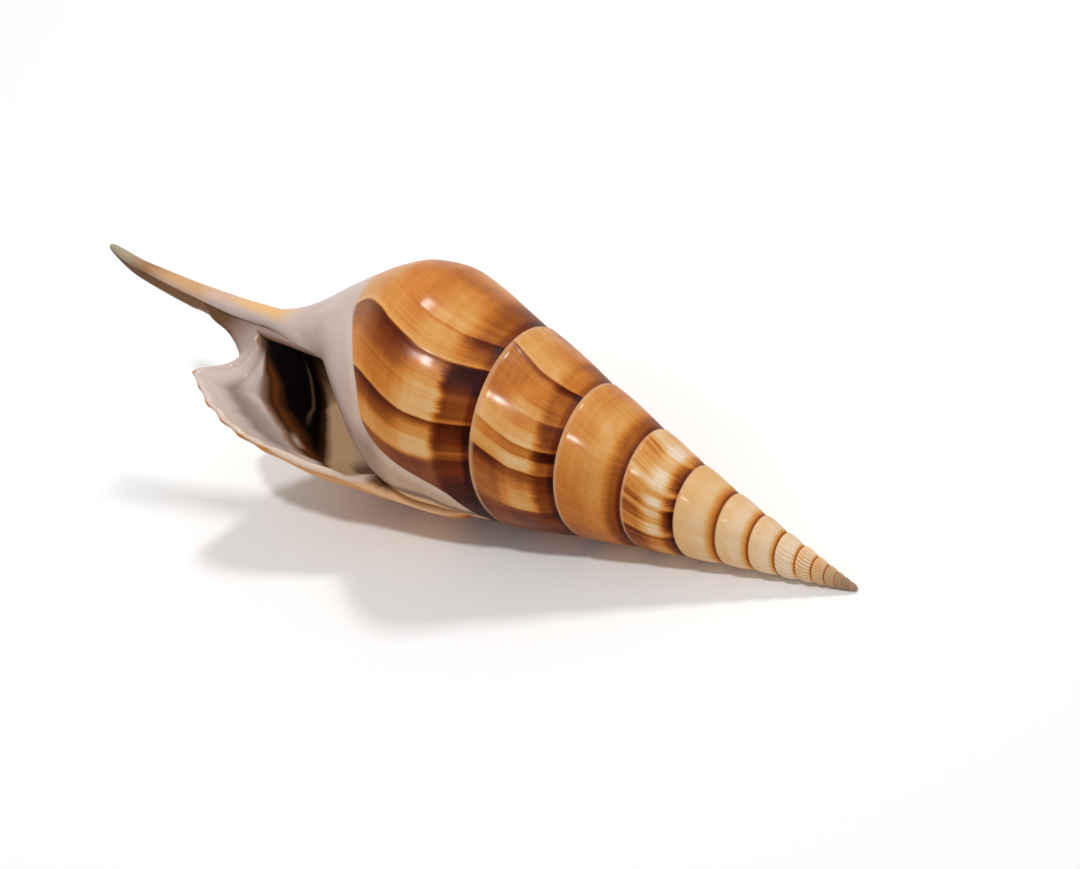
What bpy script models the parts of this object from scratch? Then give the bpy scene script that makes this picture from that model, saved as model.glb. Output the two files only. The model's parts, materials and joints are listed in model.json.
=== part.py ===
"""Tibia shell, grown as one piece: a long spire, a swollen last turn, a toothed lip and a drawn-out canal.

The coil axis runs along x with the apex at the high end; a point is given by its depth below the apex,
its radius from the axis and its growth angle round the axis, which winds to the right.
Sizes are in millimetres and are turned into metres when the mesh is made.
"""
import math

import bmesh
import bpy
import numpy as np

MM = 0.001
TURN = 2.0 * math.pi

# The coil: seam between turns at growth angle zero, and its growth per radian.
SEAM_DEPTH = 63.1
SEAM_RADIUS = 14.18
DEPTH_GROWTH = 0.03777
RADIUS_GROWTH = 0.04296
SPIRE_TURNS = 12.5
APEX_DEPTH = 2.35
WHORL_BULGE = 0.07
EARLY_WHORL_BULGE = 0.22

# The last turn: where it starts and where its free lip begins and ends.
LIP_ANGLE = math.radians(185.0)
LAST_START = LIP_ANGLE - TURN
LIP_BACK = math.radians(95.0)
LIP_TOP_DEPTH = 61.0
BLEND_BACK = math.radians(120.0)

# Canal: joins the lip at CANAL_JOIN and ends in a point at CANAL_TIP.
CANAL_JOIN = 118.0
CANAL_TIP = 137.9
CANAL_TWIST = math.radians(52.0)
CANAL_FILLET = 2.5
GROOVE_SHARE = 0.55
GROOVE_WIDTH = math.radians(24.0)

# The lip's thickness at its edge, how round the edge is, and how far an older lip dents the turn below it.
LIP_THICKNESS = 1.25
LIP_ROUNDING = 0.6
OLD_LIP_DENT = 0.8

# Share along the lip edge where the mouth opens and where the canal closes it.
MOUTH_BACK = 0.245
MOUTH_FRONT = 0.80

# How the hollow runs back inside the last turn.
HOLLOW_TURNS = 1.0
HOLLOW_BLIND_STEPS = 4
HOLLOW_BACK_GAP = 5.0
HOLLOW_FRONT_DEPTH = 95.0
HOLLOW_CENTRE_DEPTH = 81.0
HOLLOW_CENTRE_RADIUS = 8.0

# Mesh fineness: steps in one turn, across the seam band, along the lip, and along the canal.
STEPS_PER_TURN = 32
SEAM_STEPS = 4
LIP_STEPS = 32
CANAL_STEPS = 8
RIM_STEPS = 5

# How the shell lies: on the underside of its last turn, with the apex dipping to the table.
REST_TURN = math.radians(55.5485)
REST_DIP = math.radians(12.7951)

# Profile of the last turn: (depth, radius).
BODY_PROFILE = (
    (50.0, 9.6),
    (63.1, 14.05),
    (68.0, 15.45),
    (73.0, 16.9),
    (78.0, 17.75),
    (83.0, 16.95),
    (87.0, 15.0),
    (91.0, 12.2),
    (95.0, 9.1),
    (99.0, 5.6),
    (103.0, 2.4),
    (110.0, -4.0),
)

# Radius of the pillar and of the canal that carries it on: (depth, radius).
PILLAR_PROFILE = (
    (60.0, 2.5),
    (90.0, 2.5),
    (100.0, 2.45),
    (107.0, 2.35),
    (113.0, 2.15),
    (120.0, 1.82),
    (130.0, 1.3),
    (136.0, 0.75),
    (137.6, 0.35),
    (137.9, 0.0),
)

# Sideways bend of the axis: (depth, offset).
AXIS_BEND = (
    (0.0, 0.0),
    (25.0, 0.0),
    (50.0, 0.25),
    (80.0, 0.25),
    (92.0, 0.0),
    (100.0, -0.5),
    (113.0, -1.75),
    (122.0, -2.0),
    (130.0, -1.9),
    (137.9, -0.75),
)

# Edge of the lip, from the back corner to the canal: (share, depth, radius, angle round the axis in degrees).
LIP_EDGE = (
    (0.00, 61.0, 13.9, 175.0),
    (0.08, 65.5, 15.4, 175.5),
    (0.19, 71.7, 16.3, 173.0),
    (0.36, 81.6, 17.25, 170.0),
    (0.45, 88.2, 18.1, 168.0),
    (0.52, 93.5, 18.05, 166.0),
    (0.58, 99.3, 17.35, 163.5),
    (0.62, 103.4, 16.0, 160.5),
    (0.66, 107.6, 13.7, 157.0),
    (0.69, 110.4, 11.3, 154.0),
    (0.715, 109.9, 9.7, 160.0),
    (0.74, 108.9, 8.0, 171.0),
    (0.77, 108.3, 6.4, 181.0),
    (0.81, 109.8, 4.6, 184.0),
    (0.86, 112.3, 3.1, 184.0),
    (0.92, 115.0, 2.3, 168.0),
    (1.00, 118.0, 0.85, 123.0),
)

# Blunt teeth on the front of the lip: (share, height, half width as a share).
LIP_TEETH = (
    (0.533, 0.22, 0.011),
    (0.572, 0.35, 0.010),
    (0.607, 0.42, 0.009),
    (0.640, 0.45, 0.008),
    (0.668, 0.30, 0.006),
)

# Wall thickness seen from the middle of the hollow, from its back end to its front end.
HOLLOW_WALL = ((0.0, 2.0), (0.1, 1.7), (0.35, 1.15), (0.6, 1.2), (0.85, 1.9), (1.0, 2.4))


def curve(points, column=1):
    """Smooth curve through stations that never overshoots them, carried on straight past both ends."""
    xs = np.array([p[0] for p in points], dtype=float)
    ys = np.array([p[column] for p in points], dtype=float)
    step = np.diff(xs)
    rise = np.diff(ys) / step
    w1 = 2.0 * step[1:] + step[:-1]
    w2 = step[1:] + 2.0 * step[:-1]
    same = rise[:-1] * rise[1:] > 0.0
    safe0 = np.where(same, rise[:-1], 1.0)
    safe1 = np.where(same, rise[1:], 1.0)
    slope = np.zeros_like(ys)
    slope[1:-1] = np.where(same, (w1 + w2) / (w1 / safe0 + w2 / safe1), 0.0)
    slope[0] = rise[0]
    slope[-1] = rise[-1]

    def at(x):
        x = np.asarray(x, dtype=float)
        i = np.clip(np.searchsorted(xs, x) - 1, 0, len(step) - 1)
        t = (x - xs[i]) / step[i]
        c = np.clip(t, 0.0, 1.0)
        value = ys[i] * (2 * c**3 - 3 * c**2 + 1) + ys[i + 1] * (3 * c**2 - 2 * c**3)
        value = value + step[i] * (slope[i] * (c**3 - 2 * c**2 + c) + slope[i + 1] * (c**3 - c**2))
        value = value + np.where(t < 0.0, slope[0] * step[0] * t, 0.0)
        return value + np.where(t > 1.0, slope[-1] * step[-1] * (t - 1.0), 0.0)

    return at


body_radius = curve(BODY_PROFILE)
pillar_radius = curve(PILLAR_PROFILE)
axis_bend = curve(AXIS_BEND)
edge_depth = curve(LIP_EDGE, 1)
edge_radius = curve(LIP_EDGE, 2)
edge_angle = curve(LIP_EDGE, 3)
hollow_wall = curve(HOLLOW_WALL)


def ease(start, end, x):
    """Zero before start, one after end, smooth between."""
    t = np.clip((x - start) / (end - start), 0.0, 1.0)
    return t * t * (3.0 - 2.0 * t)


def soft_cap(x, cap, width):
    """x held below cap, with a soft shoulder."""
    return cap - width * np.logaddexp(0.0, (cap - x) / width)


def soft_union(a, b, fillet):
    """The larger of two radii with a fillet where they meet."""
    overlap = np.maximum(fillet - np.abs(a - b), 0.0) / fillet
    return np.maximum(a, b) + overlap * overlap * fillet * 0.25


def lip_teeth(share):
    """Height of the lip's teeth at a share along its edge."""
    return sum(height * np.exp(-(((share - at) / width) ** 2)) for at, height, width in LIP_TEETH)


def seam_depth(angle):
    """Depth of the seam, which climbs a little where the lip ends."""
    regular = SEAM_DEPTH * np.exp(DEPTH_GROWTH * angle)
    end = SEAM_DEPTH * math.exp(DEPTH_GROWTH * LIP_ANGLE)
    climb = 1.0 - (1.0 - LIP_TOP_DEPTH / end) * ease(math.radians(60.0), LIP_ANGLE, angle)
    return regular * climb


def regular_seam_radius(angle):
    return SEAM_RADIUS * np.exp(RADIUS_GROWTH * angle)


def pillar_scale(angle):
    return np.exp(RADIUS_GROWTH * np.minimum(angle - LAST_START, 0.0))


def depth_scale(angle):
    return np.exp(DEPTH_GROWTH * soft_cap(angle, 2.3, 0.35))


def free_turn(angle, depth):
    """Radius of a whole turn, with the pillar inside it, before the next turn wraps it."""
    widen = np.exp(RADIUS_GROWTH * soft_cap(angle, 0.3, 0.35))
    station = depth / depth_scale(angle)
    fade = ease(math.radians(-110.0), math.radians(-165.0), angle)
    fade = fade * np.exp(-0.1 * np.maximum(LAST_START - angle, 0.0))
    dent = OLD_LIP_DENT * fade * np.exp(-(((station - 76.0) / 8.0) ** 2))
    scale = pillar_scale(angle)
    body = (body_radius(station) - dent) * widen
    return soft_union(body, pillar_radius(depth) * scale, CANAL_FILLET * scale)


def seated_turn(angle, depth, seam_radius):
    """Radius of a turn drawn in to its seam."""
    top = seam_depth(angle)
    draw = 1.0 - ease(0.0, 14.0, depth - top)
    return free_turn(angle, depth) + (seam_radius - free_turn(angle, top)) * draw


def whorl_bulge(angle):
    """How far a whorl swells between its seams, as a share of its height; more on the first whorls."""
    early = ease(math.radians(-1100.0), math.radians(-2900.0), angle)
    return WHORL_BULGE + (EARLY_WHORL_BULGE - WHORL_BULGE) * early


def spire_turn(angle, depth):
    """Radius of a spire turn: nearly flat sides, turned in sharply at the lower seam."""
    top = SEAM_DEPTH * np.exp(DEPTH_GROWTH * angle)
    height = top * (math.exp(DEPTH_GROWTH * TURN) - 1.0)
    x = np.clip((depth - top) / height, 0.0, 1.0)
    upper = regular_seam_radius(angle)
    lower = regular_seam_radius(angle + TURN)
    return upper + (lower - upper) * x + whorl_bulge(angle) * height * x**0.9 * (1.0 - x) ** 0.45


def outside(angle, depth):
    """Radius of the shell's outside at any growth angle before the last turn."""
    share = ease(LAST_START - BLEND_BACK, LAST_START, angle)
    seated = seated_turn(angle, depth, regular_seam_radius(angle))
    return (1.0 - share) * spire_turn(angle, depth) + share * seated


def seam_radius(angle):
    """Radius where a turn meets the turn above it."""
    angle = np.asarray(angle, dtype=float)
    late = angle >= LAST_START - BLEND_BACK + TURN
    return np.where(late, outside(angle - TURN, seam_depth(angle)), regular_seam_radius(angle))


def last_turn(angle, depth):
    return seated_turn(angle, depth, seam_radius(angle))


def twist(depth):
    """Lead of the growth lines towards the canal."""
    return CANAL_TWIST * ease(76.0, 112.0, depth)


def place(depth, radius, turned):
    """Points from depth, radius and angle round the bent axis."""
    depth, radius, turned = np.broadcast_arrays(depth, radius, turned)
    across = axis_bend(depth) + radius * np.cos(turned)
    return np.stack([-depth, across, radius * np.sin(turned)], axis=-1)


def canal_groove(depth, off_seam):
    """Depth of the open groove along the canal."""
    cut = GROOVE_SHARE * pillar_radius(depth) * ease(137.5, 130.0, depth) * ease(98.0, 106.0, depth)
    return cut * np.exp(-((off_seam / GROOVE_WIDTH) ** 2))


def seam_band_end(angle):
    """Depth where the band beside the seam hands over to the columns that reach the lip."""
    top = seam_depth(angle)
    middle = top + 0.25 * (CANAL_JOIN - top)
    rise = ease(LAST_START, LAST_START + math.radians(70.0), angle)
    early = LIP_TOP_DEPTH + (middle - LIP_TOP_DEPTH) * rise
    late = top + 0.25 * (CANAL_JOIN - top) * (1.0 - ease(LIP_BACK, LIP_ANGLE, angle))
    return np.where(angle < 0.0, early, late)


def lip_shares():
    """Shares along the lip edge, closer together round the notch."""
    x = np.linspace(0.0, 1.0, 2001)
    density = 1.0 + 2.0 * np.exp(-(((x - 0.73) / 0.11) ** 2))
    total = np.cumsum(density)
    total = (total - total[0]) / (total[-1] - total[0])
    return np.interp(np.linspace(0.0, 1.0, LIP_STEPS + 1), total, x)


def lip_row(angle, depth):
    """Outside of the last turn at one growth angle; past LIP_BACK it flows out to the lip edge."""
    if angle <= LIP_BACK:
        scale = math.exp(DEPTH_GROWTH * min(angle - LAST_START, 0.0))
        turned = angle + twist(depth / scale)
        return place(depth, last_turn(turned, depth), -turned)
    q = (angle - LIP_BACK) / (LIP_ANGLE - LIP_BACK)
    band = seam_band_end(angle)
    band_end = seam_band_end(LIP_ANGLE)
    band_start = seam_band_end(LIP_BACK)
    share = np.clip((depth - band) / (CANAL_JOIN - band), 0.0, 1.0)
    depth_end = band_end + (CANAL_JOIN - band_end) * share
    depth_start = band_start + (CANAL_JOIN - band_start) * share
    turned_end = TURN - np.radians(edge_angle(share) - 1.2 * lip_teeth(share))
    turned_start = LIP_BACK + twist(depth_start)
    turned = turned_start + (turned_end - turned_start) * q
    meet = (seam_radius(LIP_ANGLE) - edge_radius(0.0)) * (1.0 - ease(0.0, 0.05, share))
    edge = edge_radius(share) + lip_teeth(share) + meet
    pull = q**1.8
    out_depth = depth + pull * (edge_depth(share) - depth_end)
    out_radius = last_turn(turned, depth) + pull * (edge - last_turn(turned_end, depth_end))
    flared = place(out_depth, out_radius, -turned)
    plain = place(depth, last_turn(angle, depth), -angle)
    return np.where((depth < band)[:, None], plain, flared)


def wrapped_row(angle, depth):
    """Surface of the turn before, as it lies under the last turn."""
    scale = math.exp(DEPTH_GROWTH * min(angle - LAST_START, 0.0))
    turned = angle + twist(depth / scale)
    return place(depth, free_turn(turned - TURN, depth), -turned)


def inner_face(angle, share, outer):
    """Inside of the wall: the outer row moved towards the middle of the hollow."""
    q = min(max((angle - LIP_BACK) / (LIP_ANGLE - LIP_BACK), 0.0), 1.0)
    size = float(depth_scale(angle))
    middle = place(HOLLOW_CENTRE_DEPTH * size, HOLLOW_CENTRE_RADIUS * size, -(angle + twist(86.0)))
    inward = middle - outer
    inward = inward / np.linalg.norm(inward, axis=1)[:, None]
    wall = hollow_wall(share) * (1.0 - q**3) + LIP_THICKNESS * q**3
    return outer + inward * wall[:, None]


def closing(share):
    """One where roof and floor of the hollow stand apart, falling to zero where they meet."""
    return (ease(0.0, 0.16, share) * (1.0 - ease(0.90, 1.0, share)))[:, None]


def spire_sheet(columns):
    rows = int(round(SPIRE_TURNS * STEPS_PER_TURN))
    angle = (LAST_START - TURN / STEPS_PER_TURN * np.arange(rows, -1, -1))[:, None]
    top = seam_depth(angle)
    depth = top + (seam_depth(angle + TURN) - top) * columns[None, :]
    radius = outside(angle, depth)
    radius[:, 0] = seam_radius(angle[:, 0])
    radius[:, -1] = seam_radius(angle[:, 0] + TURN)
    return place(depth, radius, -angle)


def canal_depths():
    """Depths of the steps along the canal, closer together towards its tip."""
    left = 1.0 - np.linspace(0.0, 1.0, CANAL_STEPS + 1)[1:]
    return CANAL_JOIN + (CANAL_TIP - CANAL_JOIN) * (1.0 - left**1.3)


def body_sheet(columns, shares, spire):
    """Last turn from its start to where the lip begins to spread."""
    rows = int(round((LIP_BACK - LAST_START) / TURN * STEPS_PER_TURN))
    angle = (LAST_START + TURN / STEPS_PER_TURN * np.arange(rows + 1))[:, None]
    top = seam_depth(angle)
    band = seam_band_end(angle)
    near = top + (band - top) * columns[None, :-1]
    far = band + (CANAL_JOIN - band) * shares[None, :]
    depth = np.concatenate([near, far, canal_depths()[None, :] + 0.0 * angle], axis=1)
    turned = angle + twist(depth)
    radius = last_turn(turned, depth) - canal_groove(depth, angle - LAST_START + 0.0 * depth)
    radius[:, -1] = 0.0
    sheet = place(depth, radius, -turned)
    first = len(spire) - 1 - STEPS_PER_TURN
    sheet[:, 0] = spire[first:first + rows + 1, -1]
    sheet[0, :len(columns)] = spire[-1]
    return sheet


def wing_sheet(columns, shares, spire, body):
    """Last quarter turn, spreading out to the lip edge and running on down the canal."""
    rows = int(round((LIP_ANGLE - LIP_BACK) / TURN * STEPS_PER_TURN))
    sheet = np.zeros((rows + 1, body.shape[1], 3))
    sheet[0] = body[-1]
    canal = canal_depths()
    for j in range(1, rows + 1):
        angle = LIP_BACK + TURN / STEPS_PER_TURN * j
        top = float(seam_depth(angle))
        band = float(seam_band_end(angle))
        near = top + (band - top) * columns[:-1]
        side = place(near, last_turn(angle, near), -angle)
        flared = lip_row(angle, band + (CANAL_JOIN - band) * shares)
        radius = pillar_radius(canal) - canal_groove(canal, LIP_ANGLE - angle + 0.0 * canal)
        radius[-1] = 0.0
        sheet[j] = np.concatenate([side, flared, place(canal, radius, -(angle + CANAL_TWIST))])
    first = len(spire) - 1 - rows
    sheet[:, 0] = spire[first:, -1]
    sheet[-1, :len(columns)] = sheet[-1, 0]
    sheet[-1, len(columns) + len(shares) - 2] = body[0, len(columns) + len(shares) - 2]
    return sheet


def mouth_columns(shares):
    back = int(np.argmin(np.abs(shares - MOUTH_BACK)))
    front = int(np.argmin(np.abs(shares - MOUTH_FRONT)))
    return back, front


def mouth_edge(shares, edge, pillar):
    """Inner edge of the lip, running in to the turn before at both ends of the mouth."""
    back, front = mouth_columns(shares)
    along = np.clip((shares - shares[back]) / (shares[front] - shares[back]), 0.0, 1.0)
    inner = pillar + (inner_face(LIP_ANGLE, along, edge) - pillar) * closing(along)
    inner[:back + 1] = pillar[:back + 1]
    inner[front:] = pillar[front:]
    return inner


def rim_sheet(shares, edge, before, inner):
    """Rounded lip from its outer edge to its inner edge, hollowed into a gutter towards the canal."""
    forward = edge - before
    forward = forward / (np.linalg.norm(forward, axis=1)[:, None] + 1e-9)
    middle = (edge + inner) / 2.0
    half = (edge - inner) / 2.0
    swell = np.minimum(np.linalg.norm(half, axis=1), LIP_ROUNDING)
    swell = swell * (1.0 - 1.6 * ease(0.74, 0.84, shares))
    swell = swell * ease(0.0, 0.04, shares) * (1.0 - ease(0.93, 1.0, shares))
    round_by = np.linspace(0.0, math.pi, RIM_STEPS + 1)[:, None, None]
    sheet = middle[None] + np.cos(round_by) * half[None] + np.sin(round_by) * (swell[:, None] * forward)[None]
    sheet[0] = edge
    sheet[-1] = inner
    return sheet


def hollow_loop(angle, depths, share):
    """Roof and floor of the hollow at one growth angle, as one closed loop, and its middle."""
    floor = wrapped_row(angle, depths)
    roof = floor + (inner_face(angle, share, lip_row(angle, depths)) - floor) * closing(share)
    k = int(len(share) * 0.6)
    return np.concatenate([roof, floor[1:-1][::-1]]), floor[k] + (roof[k] - floor[k]) * 0.55


def hollow_sheet(shares, inner, pillar):
    """Hollow of the last turn, from the mouth back to a blind end."""
    back, front = mouth_columns(shares)
    share = (shares[back:front + 1] - shares[back]) / (shares[front] - shares[back])
    mouth = LIP_TOP_DEPTH + (CANAL_JOIN - LIP_TOP_DEPTH) * shares
    loops = [np.concatenate([inner[back:front + 1], pillar[back + 1:front][::-1]])]
    count = int(round(HOLLOW_TURNS * STEPS_PER_TURN))
    for j in range(1, count + 1):
        angle = LIP_ANGLE - TURN / STEPS_PER_TURN * j
        size = float(depth_scale(angle))
        settle = float(ease(0.0, math.radians(80.0), LIP_ANGLE - angle))
        gap = HOLLOW_BACK_GAP * math.exp(DEPTH_GROWTH * min(angle - LAST_START, 0.0))
        top = float(seam_depth(angle)) + gap
        low = mouth[back] + (top - mouth[back]) * settle
        high = mouth[front] + (HOLLOW_FRONT_DEPTH * size - mouth[front]) * settle
        loop, middle = hollow_loop(angle, low + (high - low) * share, share)
        blind = max((j - (count - HOLLOW_BLIND_STEPS)) / HOLLOW_BLIND_STEPS, 0.0)
        loops.append(middle + (loop - middle) * math.sqrt(1.0 - 0.97 * blind * blind))
    loops.append(middle + (loops[-1] - middle) * 0.5)
    loops.append(middle + (loops[-1] - middle) * 0.0)
    sheet = np.array(loops)
    return np.concatenate([sheet, sheet[:, :1]], axis=1)


def apex_sheet(spire):
    """Small dome that closes the first turn."""
    loop = np.concatenate([spire[:STEPS_PER_TURN, 0], spire[0, ::-1]])
    middle = loop[:-1].mean(axis=0)
    tip = np.array([-APEX_DEPTH, middle[1], middle[2]])
    lift = np.array([1.0, 0.0, 0.0])
    spread = np.array([0.0, 1.0, 1.0])
    off = loop - tip
    steps = np.radians((0.0, 40.0, 90.0))
    rows = [tip + off * lift * (1.0 - math.sin(a)) + off * spread * math.cos(a) for a in steps]
    return np.array(rows)


def shell_sheets():
    """All the grids of points that close up into the shell."""
    columns = 1.0 - (1.0 - np.linspace(0.0, 1.0, SEAM_STEPS + 1)) ** 1.25
    shares = lip_shares()
    spire = spire_sheet(columns)
    body = body_sheet(columns, shares, spire)
    wing = wing_sheet(columns, shares, spire, body)
    lip = slice(SEAM_STEPS, SEAM_STEPS + LIP_STEPS + 1)
    inner = mouth_edge(shares, wing[-1, lip], body[0, lip])
    rim = rim_sheet(shares, wing[-1, lip], wing[-2, lip], inner)
    hollow = hollow_sheet(shares, inner, body[0, lip])
    return [spire, body, wing, rim, hollow, apex_sheet(spire)]


def rest_axes():
    """Rows that carry the coil's own axes to the way the shell lies on a table."""
    up = np.array([
        -math.sin(REST_DIP),
        math.cos(REST_DIP) * math.cos(REST_TURN),
        math.cos(REST_DIP) * math.sin(REST_TURN),
    ])
    along = np.array([1.0, 0.0, 0.0]) - up * up[0]
    along = along / np.linalg.norm(along)
    return np.array([along, np.cross(up, along), up])


def laid_down(sheets):
    """Sheets turned to rest, standing on the ground with the box centred on the origin, in metres."""
    turned = [sheet @ rest_axes().T for sheet in sheets]
    everything = np.concatenate([sheet.reshape(-1, 3) for sheet in turned])
    low = everything.min(axis=0)
    high = everything.max(axis=0)
    base = np.array([(low[0] + high[0]) / 2.0, (low[1] + high[1]) / 2.0, low[2]])
    return [(sheet - base) * MM for sheet in turned]


def add_sheet(bm, sheet):
    """One grid of points as faces looking outward."""
    rows, across = sheet.shape[:2]
    verts = [bm.verts.new(p) for p in sheet.reshape(-1, 3)]
    for i in range(rows - 1):
        for j in range(across - 1):
            at = i * across + j
            bm.faces.new((verts[at + across], verts[at + across + 1], verts[at + 1], verts[at]))


def shell_mesh():
    """The shell as one closed mesh."""
    bm = bmesh.new()
    for sheet in laid_down(shell_sheets()):
        add_sheet(bm, sheet)
    bmesh.ops.remove_doubles(bm, verts=bm.verts, dist=1e-6)
    bmesh.ops.dissolve_degenerate(bm, edges=bm.edges, dist=1e-7)
    bmesh.ops.triangulate(bm, faces=bm.faces)
    mesh = bpy.data.meshes.new("shell")
    bm.to_mesh(mesh)
    bm.free()
    return mesh


def shell_material():
    material = bpy.data.materials.new("shell")
    material.use_nodes = True
    surface = material.node_tree.nodes["Principled BSDF"]
    surface.inputs["Base Color"].default_value = (0.47, 0.26, 0.11, 1.0)
    surface.inputs["Roughness"].default_value = 0.25
    return material


def main():
    for item in list(bpy.data.objects):
        bpy.data.objects.remove(item, do_unlink=True)
    mesh = shell_mesh()
    mesh.materials.append(shell_material())
    shell = bpy.data.objects.new("shell", mesh)
    bpy.context.scene.collection.objects.link(shell)


main()
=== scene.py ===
"""Tibia shell: a glossy, banded sea snail shell with a ribbed spire tip, a toothed lip and a long canal.

Laid out as an add-on and run as a script. The shell is one grown surface, so it is made as one piece:
grids are added, set out along the coil, joined and merged. The coil axis runs along x with the apex at the
high end. A point is given by its depth below the apex, its radius from the axis and its growth angle.
Lengths are in millimetres. Growth angles are in radians, and in degrees in the tables and in what a Sheet
stores.
"""
import json
import math

import bpy
import numpy as np
from mathutils import Matrix, Vector

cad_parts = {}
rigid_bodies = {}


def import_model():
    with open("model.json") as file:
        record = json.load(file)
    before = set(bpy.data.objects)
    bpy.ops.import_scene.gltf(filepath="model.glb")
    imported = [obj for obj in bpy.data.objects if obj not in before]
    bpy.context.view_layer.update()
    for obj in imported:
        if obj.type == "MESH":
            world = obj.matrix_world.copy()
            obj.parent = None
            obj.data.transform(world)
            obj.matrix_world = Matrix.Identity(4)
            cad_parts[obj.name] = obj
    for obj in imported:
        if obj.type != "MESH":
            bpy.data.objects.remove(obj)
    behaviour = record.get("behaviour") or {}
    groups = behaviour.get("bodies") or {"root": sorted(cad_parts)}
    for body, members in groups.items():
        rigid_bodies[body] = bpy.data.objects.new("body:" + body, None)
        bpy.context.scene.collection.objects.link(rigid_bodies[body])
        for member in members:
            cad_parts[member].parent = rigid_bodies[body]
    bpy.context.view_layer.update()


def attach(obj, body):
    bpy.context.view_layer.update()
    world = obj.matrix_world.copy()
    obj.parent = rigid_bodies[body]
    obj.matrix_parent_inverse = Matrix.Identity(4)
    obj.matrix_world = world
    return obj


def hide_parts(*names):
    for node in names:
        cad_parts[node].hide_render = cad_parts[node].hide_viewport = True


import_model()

bl_info = {
    "name": "Tibia Shell",
    "version": (1, 0, 0),
    "blender": (4, 5, 0),
    "location": "3D View > Sidebar > Shell",
    "description": "Makes a glossy tibia shell with its growth marks, and a plain stage for it",
    "category": "Add Mesh",
}

MM = 0.001
SAME_DEPTH = 1e-6  # a depth this close to the edge of a band counts as on it
TURN = 2.0 * math.pi

# The coil: seam between turns at growth angle zero, and its growth per radian.
SEAM_DEPTH = 63.1
SEAM_RADIUS = 14.18
DEPTH_GROWTH = 0.03777
RADIUS_GROWTH = 0.04296
WHORL_HEIGHT = math.exp(DEPTH_GROWTH * TURN) - 1.0
SPIRE_TURNS = 12.5
APEX_DEPTH = 2.35
APEX_STEPS = (0.0, 30.0, 60.0, 90.0)

# How far a whorl swells between its seams, later and on the first whorls, and the powers that shape it.
WHORL_BULGE = 0.07
EARLY_WHORL_BULGE = 0.22
BULGE_CHANGE = np.radians((-1100.0, -2900.0))
BULGE_UPPER = 0.9
BULGE_LOWER = 0.45

# The last turn: where it starts and where its free lip begins and ends.
LIP_ANGLE = math.radians(185.0)
LAST_START = LIP_ANGLE - TURN
LIP_BACK = math.radians(95.0)
LIP_TOP_DEPTH = 61.0
BLEND_BACK = math.radians(120.0)
SEAM_CLIMB_ANGLE = math.radians(60.0)
SEAM_DRAW = 14.0
PROFILE_FADE = 0.1

# Growth angles where the last turn stops widening and deepening, and how softly.
WIDTH_CAP = 0.3
DEPTH_CAP = 2.3
CAP_SOFTNESS = 0.35

# Canal: joins the lip at CANAL_JOIN and ends in a point at CANAL_TIP.
CANAL_JOIN = 118.0
CANAL_TIP = 137.9
CANAL_TWIST = math.radians(52.0)
CANAL_TWIST_DEPTHS = (76.0, 112.0)
CANAL_FILLET = 2.5
GROOVE_SHARE = 0.55
GROOVE_WIDTH = math.radians(24.0)
GROOVE_START = (98.0, 106.0)
GROOVE_END = (137.5, 130.0)

# The lip's thickness at its edge, how round the edge is, and how it spreads.
LIP_THICKNESS = 1.25
LIP_ROUNDING = 0.6
FLARE_POWER = 1.8
TOOTH_LEAN = 1.2

# How far an older lip dents the turn below it, at which depth, and where the dent fades in.
OLD_LIP_DENT = 0.8
DENT_DEPTH = 76.0
DENT_WIDTH = 8.0
DENT_FADE = np.radians((-110.0, -165.0))

# Share along the lip edge where the mouth opens, where the canal closes it, and round the notch between.
MOUTH_BACK = 0.245
MOUTH_FRONT = 0.80
NOTCH_SHARE = 0.73
NOTCH_WIDTH = 0.11
GUTTER = (0.74, 0.84)

# How the hollow runs back inside the last turn.
HOLLOW_TURNS = 1.0
HOLLOW_BLIND_STEPS = 6
HOLLOW_BACK_GAP = 5.0
HOLLOW_FRONT_DEPTH = 95.0
HOLLOW_CENTRE_DEPTH = 81.0
HOLLOW_CENTRE_RADIUS = 8.0
HOLLOW_TWIST_DEPTH = 86.0
HOLLOW_SETTLE = math.radians(80.0)
HOLLOW_CLOSING = ((0.0, 0.16), (0.90, 1.0))
HOLLOW_MIDDLE = (0.6, 0.55)

# Mesh fineness: steps in one turn, across the seam band, along the lip, and along the canal.
STEPS_PER_TURN = 216
TURN_STEP = TURN / STEPS_PER_TURN
HOLLOW_STRIDE = 2
SEAM_STEPS = 14
LIP_STEPS = 112
CANAL_STEPS = 24
RIM_STEPS = 10
SHARE_SAMPLES = 2001

# The band beside the seam: its share of the way to the canal, and how far it takes to grow to that.
SEAM_BAND = 0.25
SEAM_BAND_RISE = math.radians(70.0)

# How the shell lies: on the underside of its last turn, with the apex dipping to the table.
REST_TURN = math.radians(55.5485)
REST_DIP = math.radians(12.7951)

# Profile of the last turn: (depth, radius).
BODY_PROFILE = (
    (50.0, 9.6), (63.1, 14.05), (68.0, 15.45), (73.0, 16.9), (78.0, 17.75), (83.0, 16.95), (87.0, 15.0),
    (91.0, 12.2), (95.0, 9.1), (99.0, 5.6), (103.0, 2.4), (110.0, -4.0),
)

# Radius of the pillar and of the canal that carries it on: (depth, radius).
PILLAR_PROFILE = (
    (60.0, 2.5), (90.0, 2.5), (100.0, 2.45), (107.0, 2.35), (113.0, 2.15), (120.0, 1.82), (130.0, 1.3),
    (136.0, 0.75), (137.6, 0.35), (137.9, 0.0),
)

# Sideways bend of the axis: (depth, offset).
AXIS_BEND = (
    (0.0, 0.0), (25.0, 0.0), (50.0, 0.25), (80.0, 0.25), (92.0, 0.0), (100.0, -0.5), (113.0, -1.75),
    (122.0, -2.0), (130.0, -1.9), (137.9, -0.75),
)

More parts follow.
